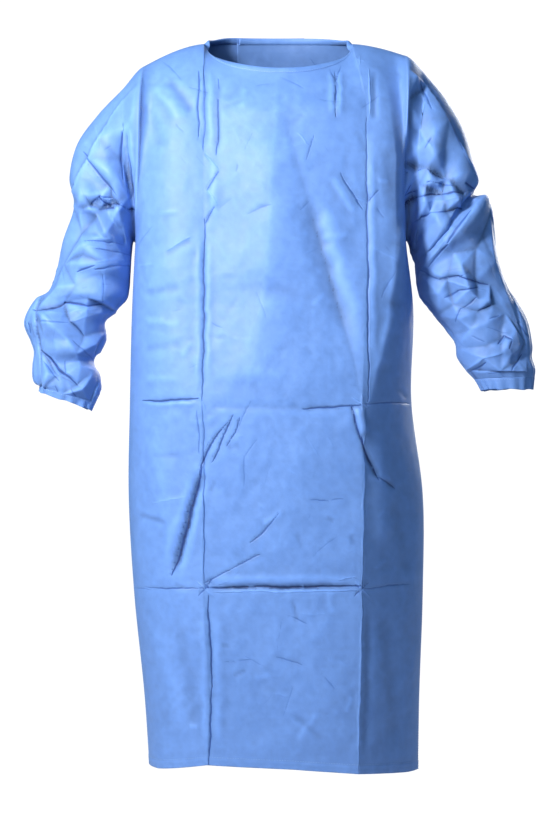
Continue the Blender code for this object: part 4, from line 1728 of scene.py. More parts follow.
    def build(self, form: GownForm) -> list[bpy.types.Object]:
        """Makes the sleeve and its cuff.

        Args:
            form: The gown's form.

        Returns:
            Both pieces.
        """
        self.shape(form)
        outward = 1 if self.side == Side.LEFT else -1
        made = []
        parts = ("cap", "upper", "elbow", "lower")
        nodes = tuple(f"sleeve_{self.word}_{part}" for part in parts)
        for name, grid, replaced, cut in (
            (f"cloth_sleeve_{self.word}", self.grid, nodes, self.cut),
            (f"cloth_cuff_{self.word}", self.cuff, (f"cuff_{self.word}",), self.cuff_cut),
        ):
            marks = (self.raised, self.creases) if grid is self.grid else (None, None)
            shell = Shell(name, grid, outward, self.thickness, True, None, *marks)
            piece = shell.build(CLOTH.material())
            made.append(hand_over(piece, replaced))
        return made


@dataclass
class NeckBinding:
    """The bias tape that is folded over the neck edge."""

    outer: BodyPanel
    front: BodyPanel
    inner: BodyPanel
    profile: tuple[tuple[float, float], ...] = (
        (-2.6, 0.15),
        (-1.6, 0.75),
        (0.6, 1.00),
        (3.4, 1.05),
        (6.2, 0.75),
        (7.8, -0.05),
        (8.2, -1.10),
        (7.6, -2.10),
        (5.4, -2.75),
        (2.0, -2.80),
        (-1.8, -2.10),
        (-2.6, -1.10),
    )
    pucker: float = 0.00022
    stitched: Array = field(default=None, repr=False)

    def _path(self) -> tuple[Array, Array]:
        """Follows the neck edge.

        Returns:
            Its points and the cloth's normals, evenly spaced and with soft corners.
        """
        points, normals = [], []
        for panel, turned in ((self.outer, True), (self.front, False), (self.inner, True)):
            zone, share = panel._column_places(FORM)
            middle = np.flatnonzero(zone == 0)
            shell = Shell(panel.name, panel.grid, -panel.face, panel.thickness)
            run, out = panel.grid[0, middle], shell.normals()[0, middle]
            if turned:
                run, out = run[::-1], out[::-1]
            points.append(run)
            normals.append(out)
        path, out = np.concatenate(points), np.concatenate(normals)
        length = np.concatenate(
            [[0.0], np.cumsum(np.linalg.norm(np.diff(path, axis=0), axis=1))]
        )
        keep = np.concatenate([[True], np.diff(length) > 1e-5])
        even = np.arange(0.0, length[-1], 0.0018)
        path = np.stack(
            [np.interp(even, length[keep], path[keep, k]) for k in range(3)], -1
        )
        out = np.stack([np.interp(even, length[keep], out[keep, k]) for k in range(3)], -1)
        blur = np.ones(9) / 9
        for _ in range(2):
            wide = np.pad(out, ((4, 4), (0, 0)), mode="edge")
            out = unit(
                np.stack([np.convolve(wide[:, k], blur, "valid") for k in range(3)], -1)
            )
        return path, out

    def build(self) -> bpy.types.Object:
        """Makes the binding.

        Returns:
            The piece.
        """
        path, out = self._path()
        leave = unit(-np.cross(np.gradient(path, axis=0), out))
        if np.mean(leave[:, 2]) < 0:
            leave = -leave
        blur = np.ones(9) / 9
        wide = np.pad(leave, ((4, 4), (0, 0)), mode="edge")
        leave = unit(
            np.stack([np.convolve(wide[:, k], blur, "valid") for k in range(3)], -1)
        )
        along = np.arange(len(path)) * 0.0018
        ripple = Ripple(61).at(along / 0.0085, along * 0) + 0.6 * Ripple(62).at(
            along / 0.0035, along * 0
        )
        rows = []
        for far, high in self.profile:
            side = 1.0 if high > -0.5 else -1.0
            lift = high * MM + side * self.pucker * ripple
            rows.append(path + leave * far * MM + out * lift[:, None])
        ring = np.array(rows)
        self.stitched = path - leave * 0.0012 + out * 0.00105
        grid = np.transpose(ring, (1, 0, 2))
        count = (len(grid) // 2) * 2 - 1
        return self._tape(grid[:count])

    def _tape(self, grid: Array) -> bpy.types.Object:
        """Makes the closed tape.

        Args:
            grid: Its cross-sections along the neck.

        Returns:
            The piece.
        """
        rows, cols = grid.shape[:2]
        numbers = np.arange(rows * cols).reshape(rows, cols)
        ring = np.concatenate([numbers, numbers[:, :1]], axis=1)
        quads = np.stack([ring[:-1, :-1], ring[:-1, 1:], ring[1:, 1:], ring[1:, :-1]], -1)
        faces = quads.reshape(-1, 4).tolist()
        faces += [numbers[0][::-1].tolist(), numbers[-1].tolist()]
        mesh = bpy.data.meshes.new("neck_tape")
        mesh.from_pydata(grid.reshape(-1, 3).tolist(), [], faces)
        set_outward(mesh)
        u, v = run_lengths(grid, 1), run_lengths(grid, 0)
        flat = np.stack([u, v], -1).reshape(-1, 2)
        corners = np.zeros(len(mesh.loops), np.int32)
        mesh.loops.foreach_get("vertex_index", corners)
        layer = mesh.uv_layers.new(name="cloth")
        layer.data.foreach_set("uv", flat[corners].astype(np.float32).ravel())
        mesh.shade_smooth()
        mesh.materials.append(TAPE.material())
        piece = bpy.data.objects.new("neck_tape", mesh)
        bpy.context.scene.collection.objects.link(piece)
        return hand_over(piece, ("neck_binding",))


def set_outward(mesh: bpy.types.Mesh) -> None:
    """Turns a closed mesh's faces outwards.

    Args:
        mesh: The mesh, which is changed.
    """
    work = bmesh.new()
    work.from_mesh(mesh)
    bmesh.ops.recalc_face_normals(work, faces=work.faces[:])
    if work.calc_volume(signed=True) < 0:
        bmesh.ops.reverse_faces(work, faces=work.faces[:])
    work.to_mesh(mesh)
    work.free()


@dataclass
class WaistTies:
    """The two waist ties, their loose ends and the knot between them."""

    drop: float = 0.480
    sewn_at: float = 0.165
    width: float = 0.028
    tail: float = 0.300
    tail_spread: float = 0.030
    knot: tuple[float, float, float] = (0.034, 0.013, 0.026)
    thickness: float = 0.0008

    def _strap(
        self, name: str, node: str, x: Array, drop: Array, lift: Array
    ) -> bpy.types.Object:
        """Makes one flat length of tie.

        Args:
            name: The piece's name.
            node: The solid that it replaces.
            x: Places across the back.
            drop: Their drops.
            lift: How far they stand off the back form.

        Returns:
            The piece.
        """
        point, normal = FORM.on_back(x, drop)
        grid = point + normal * lift[..., None]
        down, across = np.gradient(grid, axis=0), np.gradient(grid, axis=1)
        agree = np.sum(np.cross(down, across) * normal)
        shell = Shell(name, grid, 1 if agree > 0 else -1, self.thickness)
        piece = shell.build(TAPE.material())
        return hand_over(piece, (node,))

    def build(self) -> list[bpy.types.Object]:
        """Makes the ties, tails and knot.

        Returns:
            The pieces.
        """
        made = []
        edge = np.linspace(-1, 1, 11)[:, None]
        part = np.linspace(0, 1, 81)[None, :]
        roll = 0.0006 * (1 - edge**4) - 0.0003
        for side, word in ((Side.LEFT, "left"), (Side.RIGHT, "right")):
            near = self.knot[0] / 2 - 0.004
            x = side * (self.sewn_at + (near - self.sewn_at) * part) + 0 * edge
            narrow = 1 - 0.45 * ease(part, 0.70, 1.0)
            sag = 0.006 * np.sin(math.pi * part)
            drop = self.drop + edge * self.width / 2 * narrow + sag
            wave = 0.0010 * Ripple(71 + side).at(part * 6, edge * 1.5)
            pleat = 0.0012 * np.cos(edge * 7) * ease(part, 0.72, 1.0)
            lift = FORM.flap_lift(x, side) + 0.0030 + 0.0015 * part + roll + wave + pleat
            made.append(
                self._strap(f"waist_tie_{word}", f"tie_{word}", x, drop, lift)
            )
        edge, part = edge.T, part.T
        roll = roll.T
        for side, word in ((Side.LEFT, "left"), (Side.RIGHT, "right")):
            opened = 0.45 + 0.55 * ease(part, 0.0, 0.35)
            half = self.width / 2 * opened * (0.65 + 0.35 * part)
            middle = side * (0.009 + self.tail_spread * part)
            middle = middle + 0.003 * np.sin(5 * part + side)
            x = middle + edge * half
            drop = self.drop + self.knot[2] / 2 - 0.004 + self.tail * part + 0 * edge
            wave = 0.0016 * Ripple(81 + side).at(part * 5, edge * 1.2)
            pleat = 0.0012 * np.cos(edge * 6) * (1 - ease(part, 0.05, 0.40))
            lift = FORM.overlap_lift + 0.0046 + roll + wave + pleat
            made.append(
                self._strap(f"tie_end_{word}", f"tie_tail_{word}", x, drop, lift)
            )
        made.append(self._knot())
        return made

    def _knot(self) -> bpy.types.Object:
        """Makes the knot: a lump of folded tape with one turn wrapped over it.

        Returns:
            The piece.
        """
        place, normal = FORM.on_back(np.array(0.0), np.array(self.drop))
        place = place + normal * (FORM.overlap_lift + 0.0045 + self.knot[1] / 2 - 0.002)
        half_x, half_y, half_z = (size / 2 for size in self.knot)
        turn = np.linspace(0, 2 * math.pi, 48, endpoint=False)
        rows = []
        for k in range(25):
            t = -1 + 2 * k / 24
            round_off = math.sqrt(max(1e-4, 1 - abs(t) ** 3))
            crease = 1 + 0.10 * np.cos(5 * turn + 3 * t) * (1 - t * t)
            y = half_y * 0.82 * round_off * np.cos(turn) * crease
            z = half_z * 0.80 * round_off * np.sin(turn) * crease
            rows.append(np.stack([np.full(48, half_x * t), y, z], -1))
        lump = np.array(rows)
        wrap = []
        for k in range(49):
            a = 2 * math.pi * k / 48
            y, z = half_y * 0.98 * math.cos(a), half_z * 0.98 * math.sin(a)
            tilt = 0.0030 * math.sin(a)
            out = np.array([0.0, math.cos(a), math.sin(a)])
            ring = []
            for j in range(12):
                b = 2 * math.pi * j / 12
                across = 0.0075 * math.copysign(abs(math.cos(b)) ** 0.6, math.cos(b))
                thick = 0.0010 * math.sin(b) + 0.0004 * math.cos(3 * b)
                ring.append(np.array([across + tilt, y, z]) + out * thick)
            wrap.append(ring)
        wrap = np.array(wrap)
        points, faces = [], []
        for grid, closed in ((lump, False), (wrap[:-1], True)):
            rows_, cols = grid.shape[:2]
            base = sum(len(p) for p in points)
            numbers = base + np.arange(rows_ * cols).reshape(rows_, cols)
            ring = np.concatenate([numbers, numbers[:, :1]], axis=1)
            if closed:
                ring = np.concatenate([ring, ring[:1]])
            quads = np.stack(
                [ring[:-1, :-1], ring[:-1, 1:], ring[1:, 1:], ring[1:, :-1]], -1
            )
            faces += quads.reshape(-1, 4).tolist()
            if not closed:
                faces += [numbers[0][::-1].tolist(), numbers[-1].tolist()]
            points.append(grid.reshape(-1, 3))
        mesh = bpy.data.meshes.new("knot_of_ties")
        mesh.from_pydata((np.concatenate(points) + place).tolist(), [], faces)
        set_outward(mesh)
        corners = np.zeros(len(mesh.loops), np.int32)
        mesh.loops.foreach_get("vertex_index", corners)
        flat = np.concatenate(points)[:, [0, 2]]
        layer = mesh.uv_layers.new(name="cloth")
        layer.data.foreach_set("uv", flat[corners].astype(np.float32).ravel())
        mesh.shade_smooth()
        mesh.materials.append(TAPE.material())
        piece = bpy.data.objects.new("knot_of_ties", mesh)
        bpy.context.scene.collection.objects.link(piece)
        return hand_over(piece, ("tie_knot",))


@dataclass
class NeckTab:
    """The fastening tab that closes the neck over both back panels."""

    drop: float = 0.030
    length: float = 0.090
    width: float = 0.024
    sewn_share: float = 0.35
    thickness: float = 0.0011

    def build(self) -> bpy.types.Object:
        """Makes the tab.

        Returns:
            The piece.
        """
        edge = np.linspace(-1, 1, 21)[:, None]
        part = np.linspace(0, 1, 71)[None, :]
        x = FORM.overlap - self.sewn_share * self.length + self.length * part + 0 * edge
        drop = self.drop + edge * self.width / 2 + 0 * part
        rim = np.maximum(np.abs(edge), np.abs(2 * part - 1) ** 3)
        lift = FORM.flap_lift(x, Side.RIGHT) + 0.0024 - 0.0005 * rim**6
        point, normal = FORM.on_back(x, drop)
        grid = point + normal * lift[..., None]
        down, across = np.gradient(grid, axis=0), np.gradient(grid, axis=1)
        agree = np.sum(np.cross(down, across) * normal)
        shell = Shell("fastening_tab", grid, 1 if agree > 0 else -1, self.thickness)
        piece = shell.build(PILE.material())
        return hand_over(piece, ("neck_tab",))


@dataclass(frozen=True)
class StitchRow:
    """Rows of machine stitches along seams."""

    pitch: float = 0.0042
    length: float = 0.0030
    radius: float = 0.00032

    def _tree(self) -> bpy.types.NodeTree:
        """Builds the node tree that lays a stitch at each step of a line.

        Returns:
            The tree, with inputs Line, Pitch, Length, Radius and Thread.
        """
        tree = bpy.data.node_groups.new("stitches", "GeometryNodeTree")
        for name, kind in (
            ("Line", "NodeSocketGeometry"),
            ("Pitch", "NodeSocketFloat"),
            ("Length", "NodeSocketFloat"),
            ("Radius", "NodeSocketFloat"),
            ("Thread", "NodeSocketMaterial"),
        ):
            tree.interface.new_socket(name, in_out="INPUT", socket_type=kind)
        tree.interface.new_socket(
            "Stitches", in_out="OUTPUT", socket_type="NodeSocketGeometry"
        )
        work = NodeWork(tree)
        given = work.add("NodeGroupInput").outputs
        curve = work.add("GeometryNodeMeshToCurve")
        work.feed(curve.inputs[0], given["Line"])
        spaced = work.add("GeometryNodeResampleCurve")
        spaced.mode = "LENGTH"
        work.feed(spaced.inputs["Curve"], curve.outputs[0])
        work.feed(spaced.inputs["Length"], given["Pitch"])
        stitch = work.add("GeometryNodeMeshUVSphere")
        stitch.inputs["Segments"].default_value = 6
        stitch.inputs["Rings"].default_value = 5
        work.feed(stitch.inputs["Radius"], 0.5)
        size = work.add("ShaderNodeCombineXYZ")
        wide = work.math("MULTIPLY", given["Radius"], 2.0)
        for socket, value in zip(size.inputs, (wide, wide, given["Length"])):
            work.feed(socket, value)
        tangent = work.add("GeometryNodeInputTangent")
        turned = work.add("FunctionNodeAlignRotationToVector", axis="Z")
        work.feed(turned.inputs["Vector"], tangent.outputs[0])
        placed = work.add("GeometryNodeInstanceOnPoints")
        work.feed(placed.inputs["Points"], spaced.outputs[0])
        work.feed(placed.inputs["Instance"], stitch.outputs["Mesh"])
        work.feed(placed.inputs["Rotation"], turned.outputs[0])
        work.feed(placed.inputs["Scale"], size.outputs[0])
        real = work.add("GeometryNodeRealizeInstances")
        work.feed(real.inputs[0], placed.outputs[0])
        dressed = work.add("GeometryNodeSetMaterial")
        work.feed(dressed.inputs["Geometry"], real.outputs[0])
        work.feed(dressed.inputs["Material"], given["Thread"])
        done = work.add("NodeGroupOutput")
        work.feed(done.inputs[0], dressed.outputs[0])
        return tree

    def sew(self, name: str, lines: list[Array]) -> bpy.types.Object:
        """Sews along lines.

        Args:
            name: The piece's name.
            lines: The points of each line.

        Returns:
            The piece.
        """
        points = np.concatenate(lines)
        edges, start = [], 0
        for line in lines:
            edges += [(start + k, start + k + 1) for k in range(len(line) - 1)]
            start += len(line)
        mesh = bpy.data.meshes.new(f"{name}_line")
        mesh.from_pydata(points.tolist(), edges, [])
        guide = bpy.data.objects.new(f"{name}_line", mesh)
        bpy.context.scene.collection.objects.link(guide)
        tree = self._tree()
        nodes = guide.modifiers.new("stitches", "NODES")
        nodes.node_group = tree
        keys = {
            item.name: item.identifier
            for item in tree.interface.items_tree
            if item.in_out == "INPUT"
        }
        nodes[keys["Pitch"]] = self.pitch
        nodes[keys["Length"]] = self.length
        nodes[keys["Radius"]] = self.radius
        nodes[keys["Thread"]] = THREAD.material()
        graph = bpy.context.evaluated_depsgraph_get()
        made = bpy.data.meshes.new_from_object(guide.evaluated_get(graph))
        made.name = name
        made.shade_smooth()
        if not made.materials:
            made.materials.append(THREAD.material())
        bpy.data.objects.remove(guide, do_unlink=True)
        piece = bpy.data.objects.new(name, made)
        bpy.context.scene.collection.objects.link(piece)
        return hand_over(piece, ())


@dataclass
class Studio:
    """A pale floor, soft light and the camera at the photo's viewing angle."""

    floor_drop: float = 1.30
    floor_radius: float = 40.0
    camera_at: tuple[float, float, float] = (0.0075, -5.0, -0.603)
    lens: float = 132.68
    white: tuple[float, float, float, float] = (1.0, 1.0, 1.0, 1.0)
    fill: tuple[float, float, float, float] = (0.26, 0.62, 1.0, 1.0)
    fill_strength: float = 0.26

    def build(self) -> None:
        """Makes the floor, the lights, the surroundings and the camera."""
        self._floor()
        self._world()
        self._light("key", (-1.15, -1.62, 0.50), (0.0, 0.0, -0.20), 0.5, 76.0)
        self._light("top_front", (-0.30, -2.30, 0.95), (0.0, 0.0, -0.30), 0.9, 12.0)
        self._light("back_fill", (1.6, 3.4, 0.6), (0.0, 0.0, -0.6), 1.8, 90.0)
        camera = bpy.data.cameras.new("camera")
        camera.lens = self.lens
        camera.sensor_width = 36.0
        holder = bpy.data.objects.new("camera", camera)
        holder.location = self.camera_at
        holder.rotation_euler = (math.pi / 2, 0.0, 0.0)
        bpy.context.scene.collection.objects.link(holder)
        bpy.context.scene.camera = holder
        view = bpy.context.scene.view_settings
        view.view_transform = "Standard"

    def _light(
        self,
        name: str,
        place: tuple[float, float, float],
        target: tuple[float, float, float],
        size: float,
        power: float,
    ) -> None:
        """Adds a soft light.

        Args:
            name: Its name.
            place: Where it is.
            target: What it faces.
            size: How wide it is.
            power: Its power in watts.
        """
        lamp = bpy.data.lights.new(name, "AREA")
        lamp.shape = "DISK"
        lamp.size = size
        lamp.energy = power
        holder = bpy.data.objects.new(name, lamp)
        holder.location = place
        aim = Vector(target) - Vector(place)
        holder.rotation_euler = aim.to_track_quat("-Z", "Y").to_euler()
        bpy.context.scene.collection.objects.link(holder)

    def _world(self) -> None:
        """Surrounds the gown with dim even light and shows the camera a pale ground."""
        world = bpy.data.worlds.new("studio")
        bpy.context.scene.world = world
        world.use_nodes = True
        work = NodeWork(world.node_tree)
        dim = world.node_tree.nodes["Background"]
        dim.inputs[0].default_value = self.fill
        dim.inputs[1].default_value = self.fill_strength
        pale = work.add("ShaderNodeBackground")
        pale.inputs[0].default_value = self.white
        pale.inputs[1].default_value = 1.1
        seen = work.add("ShaderNodeLightPath").outputs["Is Camera Ray"]
        choice = work.add("ShaderNodeMixShader")
        work.feed(choice.inputs[0], seen)
        work.feed(choice.inputs[1], dim.outputs[0])
        work.feed(choice.inputs[2], pale.outputs[0])
        done = world.node_tree.nodes["World Output"]
        work.feed(done.inputs[0], choice.outputs[0])

    def _floor(self) -> None:
        """Lays the floor a little below the hem."""
        turn = np.linspace(0, 2 * math.pi, 64, endpoint=False)
        points = [
            (self.floor_radius * math.cos(a), self.floor_radius * math.sin(a), 0.0)
            for a in turn
        ]
        points = [(x, y, -self.floor_drop) for x, y, _ in points]
        mesh = bpy.data.meshes.new("floor")
        mesh.from_pydata(points, [], [list(range(64))])
        pale = bpy.data.materials.new("floor")
        pale.use_nodes = True
        work = NodeWork(pale.node_tree)
        shader = pale.node_tree.nodes["Principled BSDF"]
        shader.inputs["Base Color"].default_value = (0.55, 0.55, 0.56, 1.0)
        shader.inputs["Roughness"].default_value = 0.9
        glow = work.add("ShaderNodeEmission")
        glow.inputs[0].default_value = self.white
        glow.inputs[1].default_value = 1.08
        seen = work.add("ShaderNodeLightPath").outputs["Is Camera Ray"]
        choice = work.add("ShaderNodeMixShader")
        share = work.math("MULTIPLY", seen, 0.97)
        work.feed(choice.inputs[0], share)
        work.feed(choice.inputs[1], shader.outputs[0])
        work.feed(choice.inputs[2], glow.outputs[0])
        done = pale.node_tree.nodes["Material Output"]
        work.feed(done.inputs[0], choice.outputs[0])
        mesh.materials.append(pale)
        floor = bpy.data.objects.new("floor", mesh)
        bpy.context.scene.collection.objects.link(floor)


FRONT_FOLDS = (
    Fold(-116, 40, -116, 188, 1, 5, -1.6, CRISP),
    Fold(-124, 48, -124, 166, -1, 5, -2.0, CRISP),
    Fold(-93, 63, -95, 201, 2, 6, -2.0, CRISP),
    Fold(-106, 43, -105, 188, 0, 5, 1.4),
    Fold(-116, 188, -90, 221, 0, 5, 1.6, CRISP),
    Fold(-90, 218, -111, 253, 0, 5, -1.8, CRISP),
    Fold(-111, 247, -90, 279, 0, 5, 1.6, CRISP),
    Fold(-92, 272, -114, 308, 0, 5, -1.8, CRISP),
    Fold(-101, 198, -98, 301, 0, 8, 1.5),
    Fold(-114, 293, -116, 595, 0.5, 4.5, -2.4, CRISP),
    Fold(-122, 303, -124, 592, 0, 6, 1.2),
    Fold(-106, 308, -108, 588, 0, 5, 1.0),
    Fold(-201, 72, -150, 140, 3, 13, 2.4, SOFT, 0.2),
    Fold(-180, 63, -132, 127, 3, 10, -2.0),
    Fold(-218, 100, -185, 188, 2, 10, -1.6),
    Fold(99, 50, 99, 138, 0, 4, -2.6, CRISP),
    Fold(91, 43, 94, 134, 0, 5, 1.3),
    Fold(107, 43, 105, 134, 0, 5, 1.3),
    Fold(87, 38, 99, 69, 0, 4, -1.8, CRISP),
    Fold(112, 37, 100, 69, 0, 4, -1.8, CRISP),
    Fold(155, 43, 155, 127, 0, 4, 1.8, CRISP),
    Fold(163, 47, 162, 140, 0, 5, -1.6),
    Fold(131, 27, 150, 34, 0, 3, 1.2, CRISP),
    Fold(141, 21, 139, 43, 0, 3, 1.2, CRISP),
    Fold(36, 155, 53, 180, 1, 4, 1.0, CRISP),
    Fold(65, 158, 49, 206, 1, 4, -1.0, CRISP),
    Fold(7, 140, 5, 430, 2, 55, 4.2),
    Fold(5, 406, -32, 579, -4, 40, 3.2),
    Fold(52, 253, 120, 492, -5, 17, -3.6, SOFT, -0.15),
    Fold(76, 263, 147, 479, -4, 18, 2.4, SOFT, 0.1),
    Fold(149, 127, 149, 595, 0.6, 4.5, -2.2, CRISP),
    Fold(158, 140, 158, 588, 0, 6, 1.4),
    Fold(102, 218, 144, 285, -2, 5, -1.8, CRISP),
    Fold(92, 224, 131, 292, -2, 6, 1.2),
    Fold(170, 248, 149, 272, 0, 4, -1.6, CRISP),
    Fold(149, 272, 124, 263, 0, 4, 1.2, CRISP),
    Fold(-177, 351, -130, 322, 1, 4, 1.4, CRISP),
    Fold(-179, 359, -134, 330, 1, 5, -1.0),
    Fold(-221, 419, -147, 411, 2, 7, -0.9),
    Fold(-218, 459, -150, 468, -2, 7, 0.9),
    Fold(-219, 511, -143, 503, 2, 8, -0.9),
    Fold(-214, 556, -153, 561, 1, 6, 0.8),
    Fold(210, 293, 187, 438, -3, 15, 3.6, SOFT, 0.3),
    Fold(187, 430, 160, 550, 2, 13, 2.6, SOFT, 0.3),
    Fold(182, 172, 189, 293, 2, 12, -2.0),
    Fold(124, 587, 153, 606, 0, 5, 1.6, CRISP),
    Fold(139, 579, 141, 614, 0, 4, 1.4, CRISP),
    Fold(-124, 579, -109, 608, 0, 4, 1.5, CRISP),
    Fold(-116, 598, -113, 892, 1, 4, -1.6, CRISP),
    Fold(-127, 882, -100, 909, 0, 4, 1.6, CRISP),
    Fold(-100, 880, -126, 908, 0, 4, -1.6, CRISP),
    Fold(128, 882, 157, 909, 0, 4, 1.6, CRISP),
    Fold(157, 882, 128, 909, 0, 4, -1.6, CRISP),
    Fold(-108, 905, -101, 1059, 0.6, 5, -2.8, CRISP),
    Fold(-101, 1050, -106, 1188, -0.5, 5, -2.6, CRISP),
    Fold(-116, 908, -111, 1182, 0.6, 7, 1.6),
    Fold(-95, 914, -90, 1172, 0.6, 8, 1.2),
    Fold(144, 598, 141, 892, 0.4, 5, 1.8, CRISP, 0.2),
    Fold(141, 901, 134, 1192, 0.4, 5, 2.4, CRISP, 0.2),
    Fold(150, 914, 145, 1185, 0, 7, -1.8),
    Fold(18, 938, 55, 953, 1, 4, -1.1, CRISP),
    Fold(-6, 1005, 47, 1018, 1, 4.5, -1.1, CRISP),
    Fold(-82, 1014, -37, 1011, 1, 4, -1.0, CRISP),
    Fold(29, 1095, 76, 1143, 2, 6, -0.7),
    Fold(73, 1093, 36, 1147, -2, 6, 0.7),
    Fold(-201, 947, -150, 1143, 5, 16, 2.0),
    Fold(-159, 934, -127, 1140, 3, 14, -2.2),
    Fold(-56, 914, -21, 1164, 6, 40, -2.2),
    Fold(70, 914, 89, 1172, -4, 38, 2.4),
    Fold(176, 930, 199, 1176, 3, 14, -2.4),
    Fold(199, 753, 218, 888, 2, 14, -2.2),
    Fold(163, 624, 176, 850, 3, 16, 2.0),
    Fold(-205, 624, -159, 850, 4, 18, 2.0, SOFT, 0.1),
    Fold(41, 640, 18, 866, 5, 36, 1.8),
    Fold(-69, 124, -47, 350, 4, 30, -1.4),
    Fold(-117, 701, -168, 880, 1, 13, -8, CRISP),
    Fold(-74, 627, -122, 714, -7, 5, -3.0, CRISP),
    Fold(-66, 613, -103, 696, 1, 5, -2.6, CRISP),
    Fold(-56, 616, -79, 668, 4, 4.5, -2.2, CRISP),
    Fold(-109, 711, -156, 874, 1, 9, 2.2),
    Fold(-130, 711, -177, 866, 1, 10, 1.6),
    Fold(-218, 593, -121, 589, -1, 6, -3, CRISP),
    Fold(-218, 598, -124, 596, -1, 5, 1.2),
    Fold(-114, 602, 124, 605, 0.6, 7, -1),
    Fold(41, 606, 141, 599, -1, 5, -2.6, CRISP),
    Fold(137, 598, 234, 597, 0.5, 5, -1.6, CRISP),
    Fold(122, 598, 142, 664, -1.5, 6, -3.2, CRISP),
    Fold(139, 650, 168, 724, -2, 8, -3.6, CRISP),
    Fold(163, 716, 195, 738, 2.5, 6, -2.2, CRISP),
    Fold(132, 601, 144, 650, 0, 7, 2.6),
    Fold(36, 755, 115, 751, 0.6, 4, -1.2, CRISP),
    Fold(7, 772, -42, 824, 3, 5, -1.8, CRISP),
    Fold(13, 768, -21, 792, 2, 5, 1),
    Fold(-16, 837, -69, 863, -1.5, 5, -1.8, CRISP),
    Fold(-63, 859, -116, 887, 1.5, 5, -1.8, CRISP),
    Fold(-116, 894, 144, 892, 0.8, 8, -4.2, CRISP),
    Fold(-101, 900, 137, 899, 0.3, 4.5, 2.6, CRISP),
    Fold(-113, 882, 137, 880, 0.5, 8, 1.2),
    Fold(-214, 897, -116, 895, -0.5, 4.5, -1.8, CRISP),
    Fold(142, 895, 231, 893, 0.3, 4.5, -1.6, CRISP),
    Fold(94, 884, 132, 876, 0.4, 3, 2, CRISP),
    Fold(-201, 761, -142, 748, 0.8, 5, 1, CRISP),
    Fold(-224, 779, -172, 792, 0.8, 5, -0.9),
    Fold(-115, 718, -115, 887, 0.2, 3.5, 1.8, CRISP),
    Fold(-125, 606, -122, 682, 0.2, 3.5, -1.2, CRISP),
)
LEFT_FOLDS = (
    Fold(-251, 147, -249, 233, 0, 8, -3.4, CRISP),
    Fold(-223, 141, -221, 230, 0, 6, -2.6, CRISP),
    Fold(-242, 180, -238, 263, 0, 5, -1.8, CRISP),
    Fold(-237, 144, -232, 223, 0, 6, 1.6, CRISP),
    Fold(-317, 179, -258, 258, -1.5, 8, -2, CRISP),
    Fold(-301, 131, -288, 180, 1, 5, 1.2, CRISP),
    Fold(-303, 269, -286, 258, 0, 6, -3.2, CRISP),
    Fold(-291, 257, -273, 272, 0, 6, -3.4, CRISP),
    Fold(-281, 272, -252, 269, -1, 6, -3, CRISP),
    Fold(-261, 267, -232, 281, -1, 7, -3.6, CRISP),
    Fold(-294, 266, -280, 273, 0, 4, 2.6, CRISP),
    Fold(-275, 264, -258, 263, 0, 4, 2.4, CRISP),
    Fold(-291, 256, -248, 269, 1.5, 5, -2, CRISP),
    Fold(-288, 277, -261, 277, 0, 5, -2.6, CRISP),
    Fold(-253, 274, -237, 286, 0, 4, 2.2, CRISP),
    Fold(-314, 332, -248, 335, 1.5, 6, -2.4, CRISP),
    Fold(-296, 345, -230, 354, 1.5, 6, -2.4, CRISP),
    Fold(-307, 325, -265, 327, 0, 5, 1.5, CRISP),
    Fold(-311, 340, -268, 345, 0, 5, 1.5, CRISP),
    Fold(-326, 383, -293, 369, 0.6, 6, -2.4, CRISP),
    Fold(-296, 376, -230, 369, 0.6, 6, -2.8, CRISP),
    Fold(-294, 365, -232, 360, 0.6, 6, 2, CRISP),
    Fold(-283, 381, -283, 432, 0.4, 5, -2, CRISP),
    Fold(-401, 443, -344, 430, -2, 8, -3.4, CRISP),
    Fold(-350, 430, -281, 438, -1, 8, -3.6, CRISP),
    Fold(-386, 448, -288, 442, -1, 6, 1.6, CRISP),
    Fold(-386, 463, -335, 465, 0.4, 5, -1.2, CRISP),
    Fold(-335, 462, -311, 486, 1, 6, -2.6, CRISP),
    Fold(-330, 463, -291, 450, 0, 5, 1.8, CRISP),
    Fold(-334, 493, -298, 526, 1, 6, -1.8, CRISP),
    Fold(-390, 508, -322, 568, 1.5, 9, -3.8, CRISP),
    Fold(-380, 513, -321, 562, 1.2, 5, 1.8, CRISP),
    Fold(-381, 527, -352, 562, 0.5, 5, -1.4, CRISP),
    Fold(-344, 526, -342, 552, 0, 4, -1.4, CRISP),
    Fold(-319, 565, -294, 539, 0.5, 6, 1.8, CRISP),
    Fold(-403, 457, -393, 490, 0.5, 4, 1.4, CRISP),
    Fold(-408, 463, -401, 483, 0, 4, -1.6, CRISP),
    Fold(-360, 567, -350, 585, 0, 4, -1.4, CRISP),
    Fold(-334, 572, -321, 595, 0, 5, -1.6, CRISP),
)
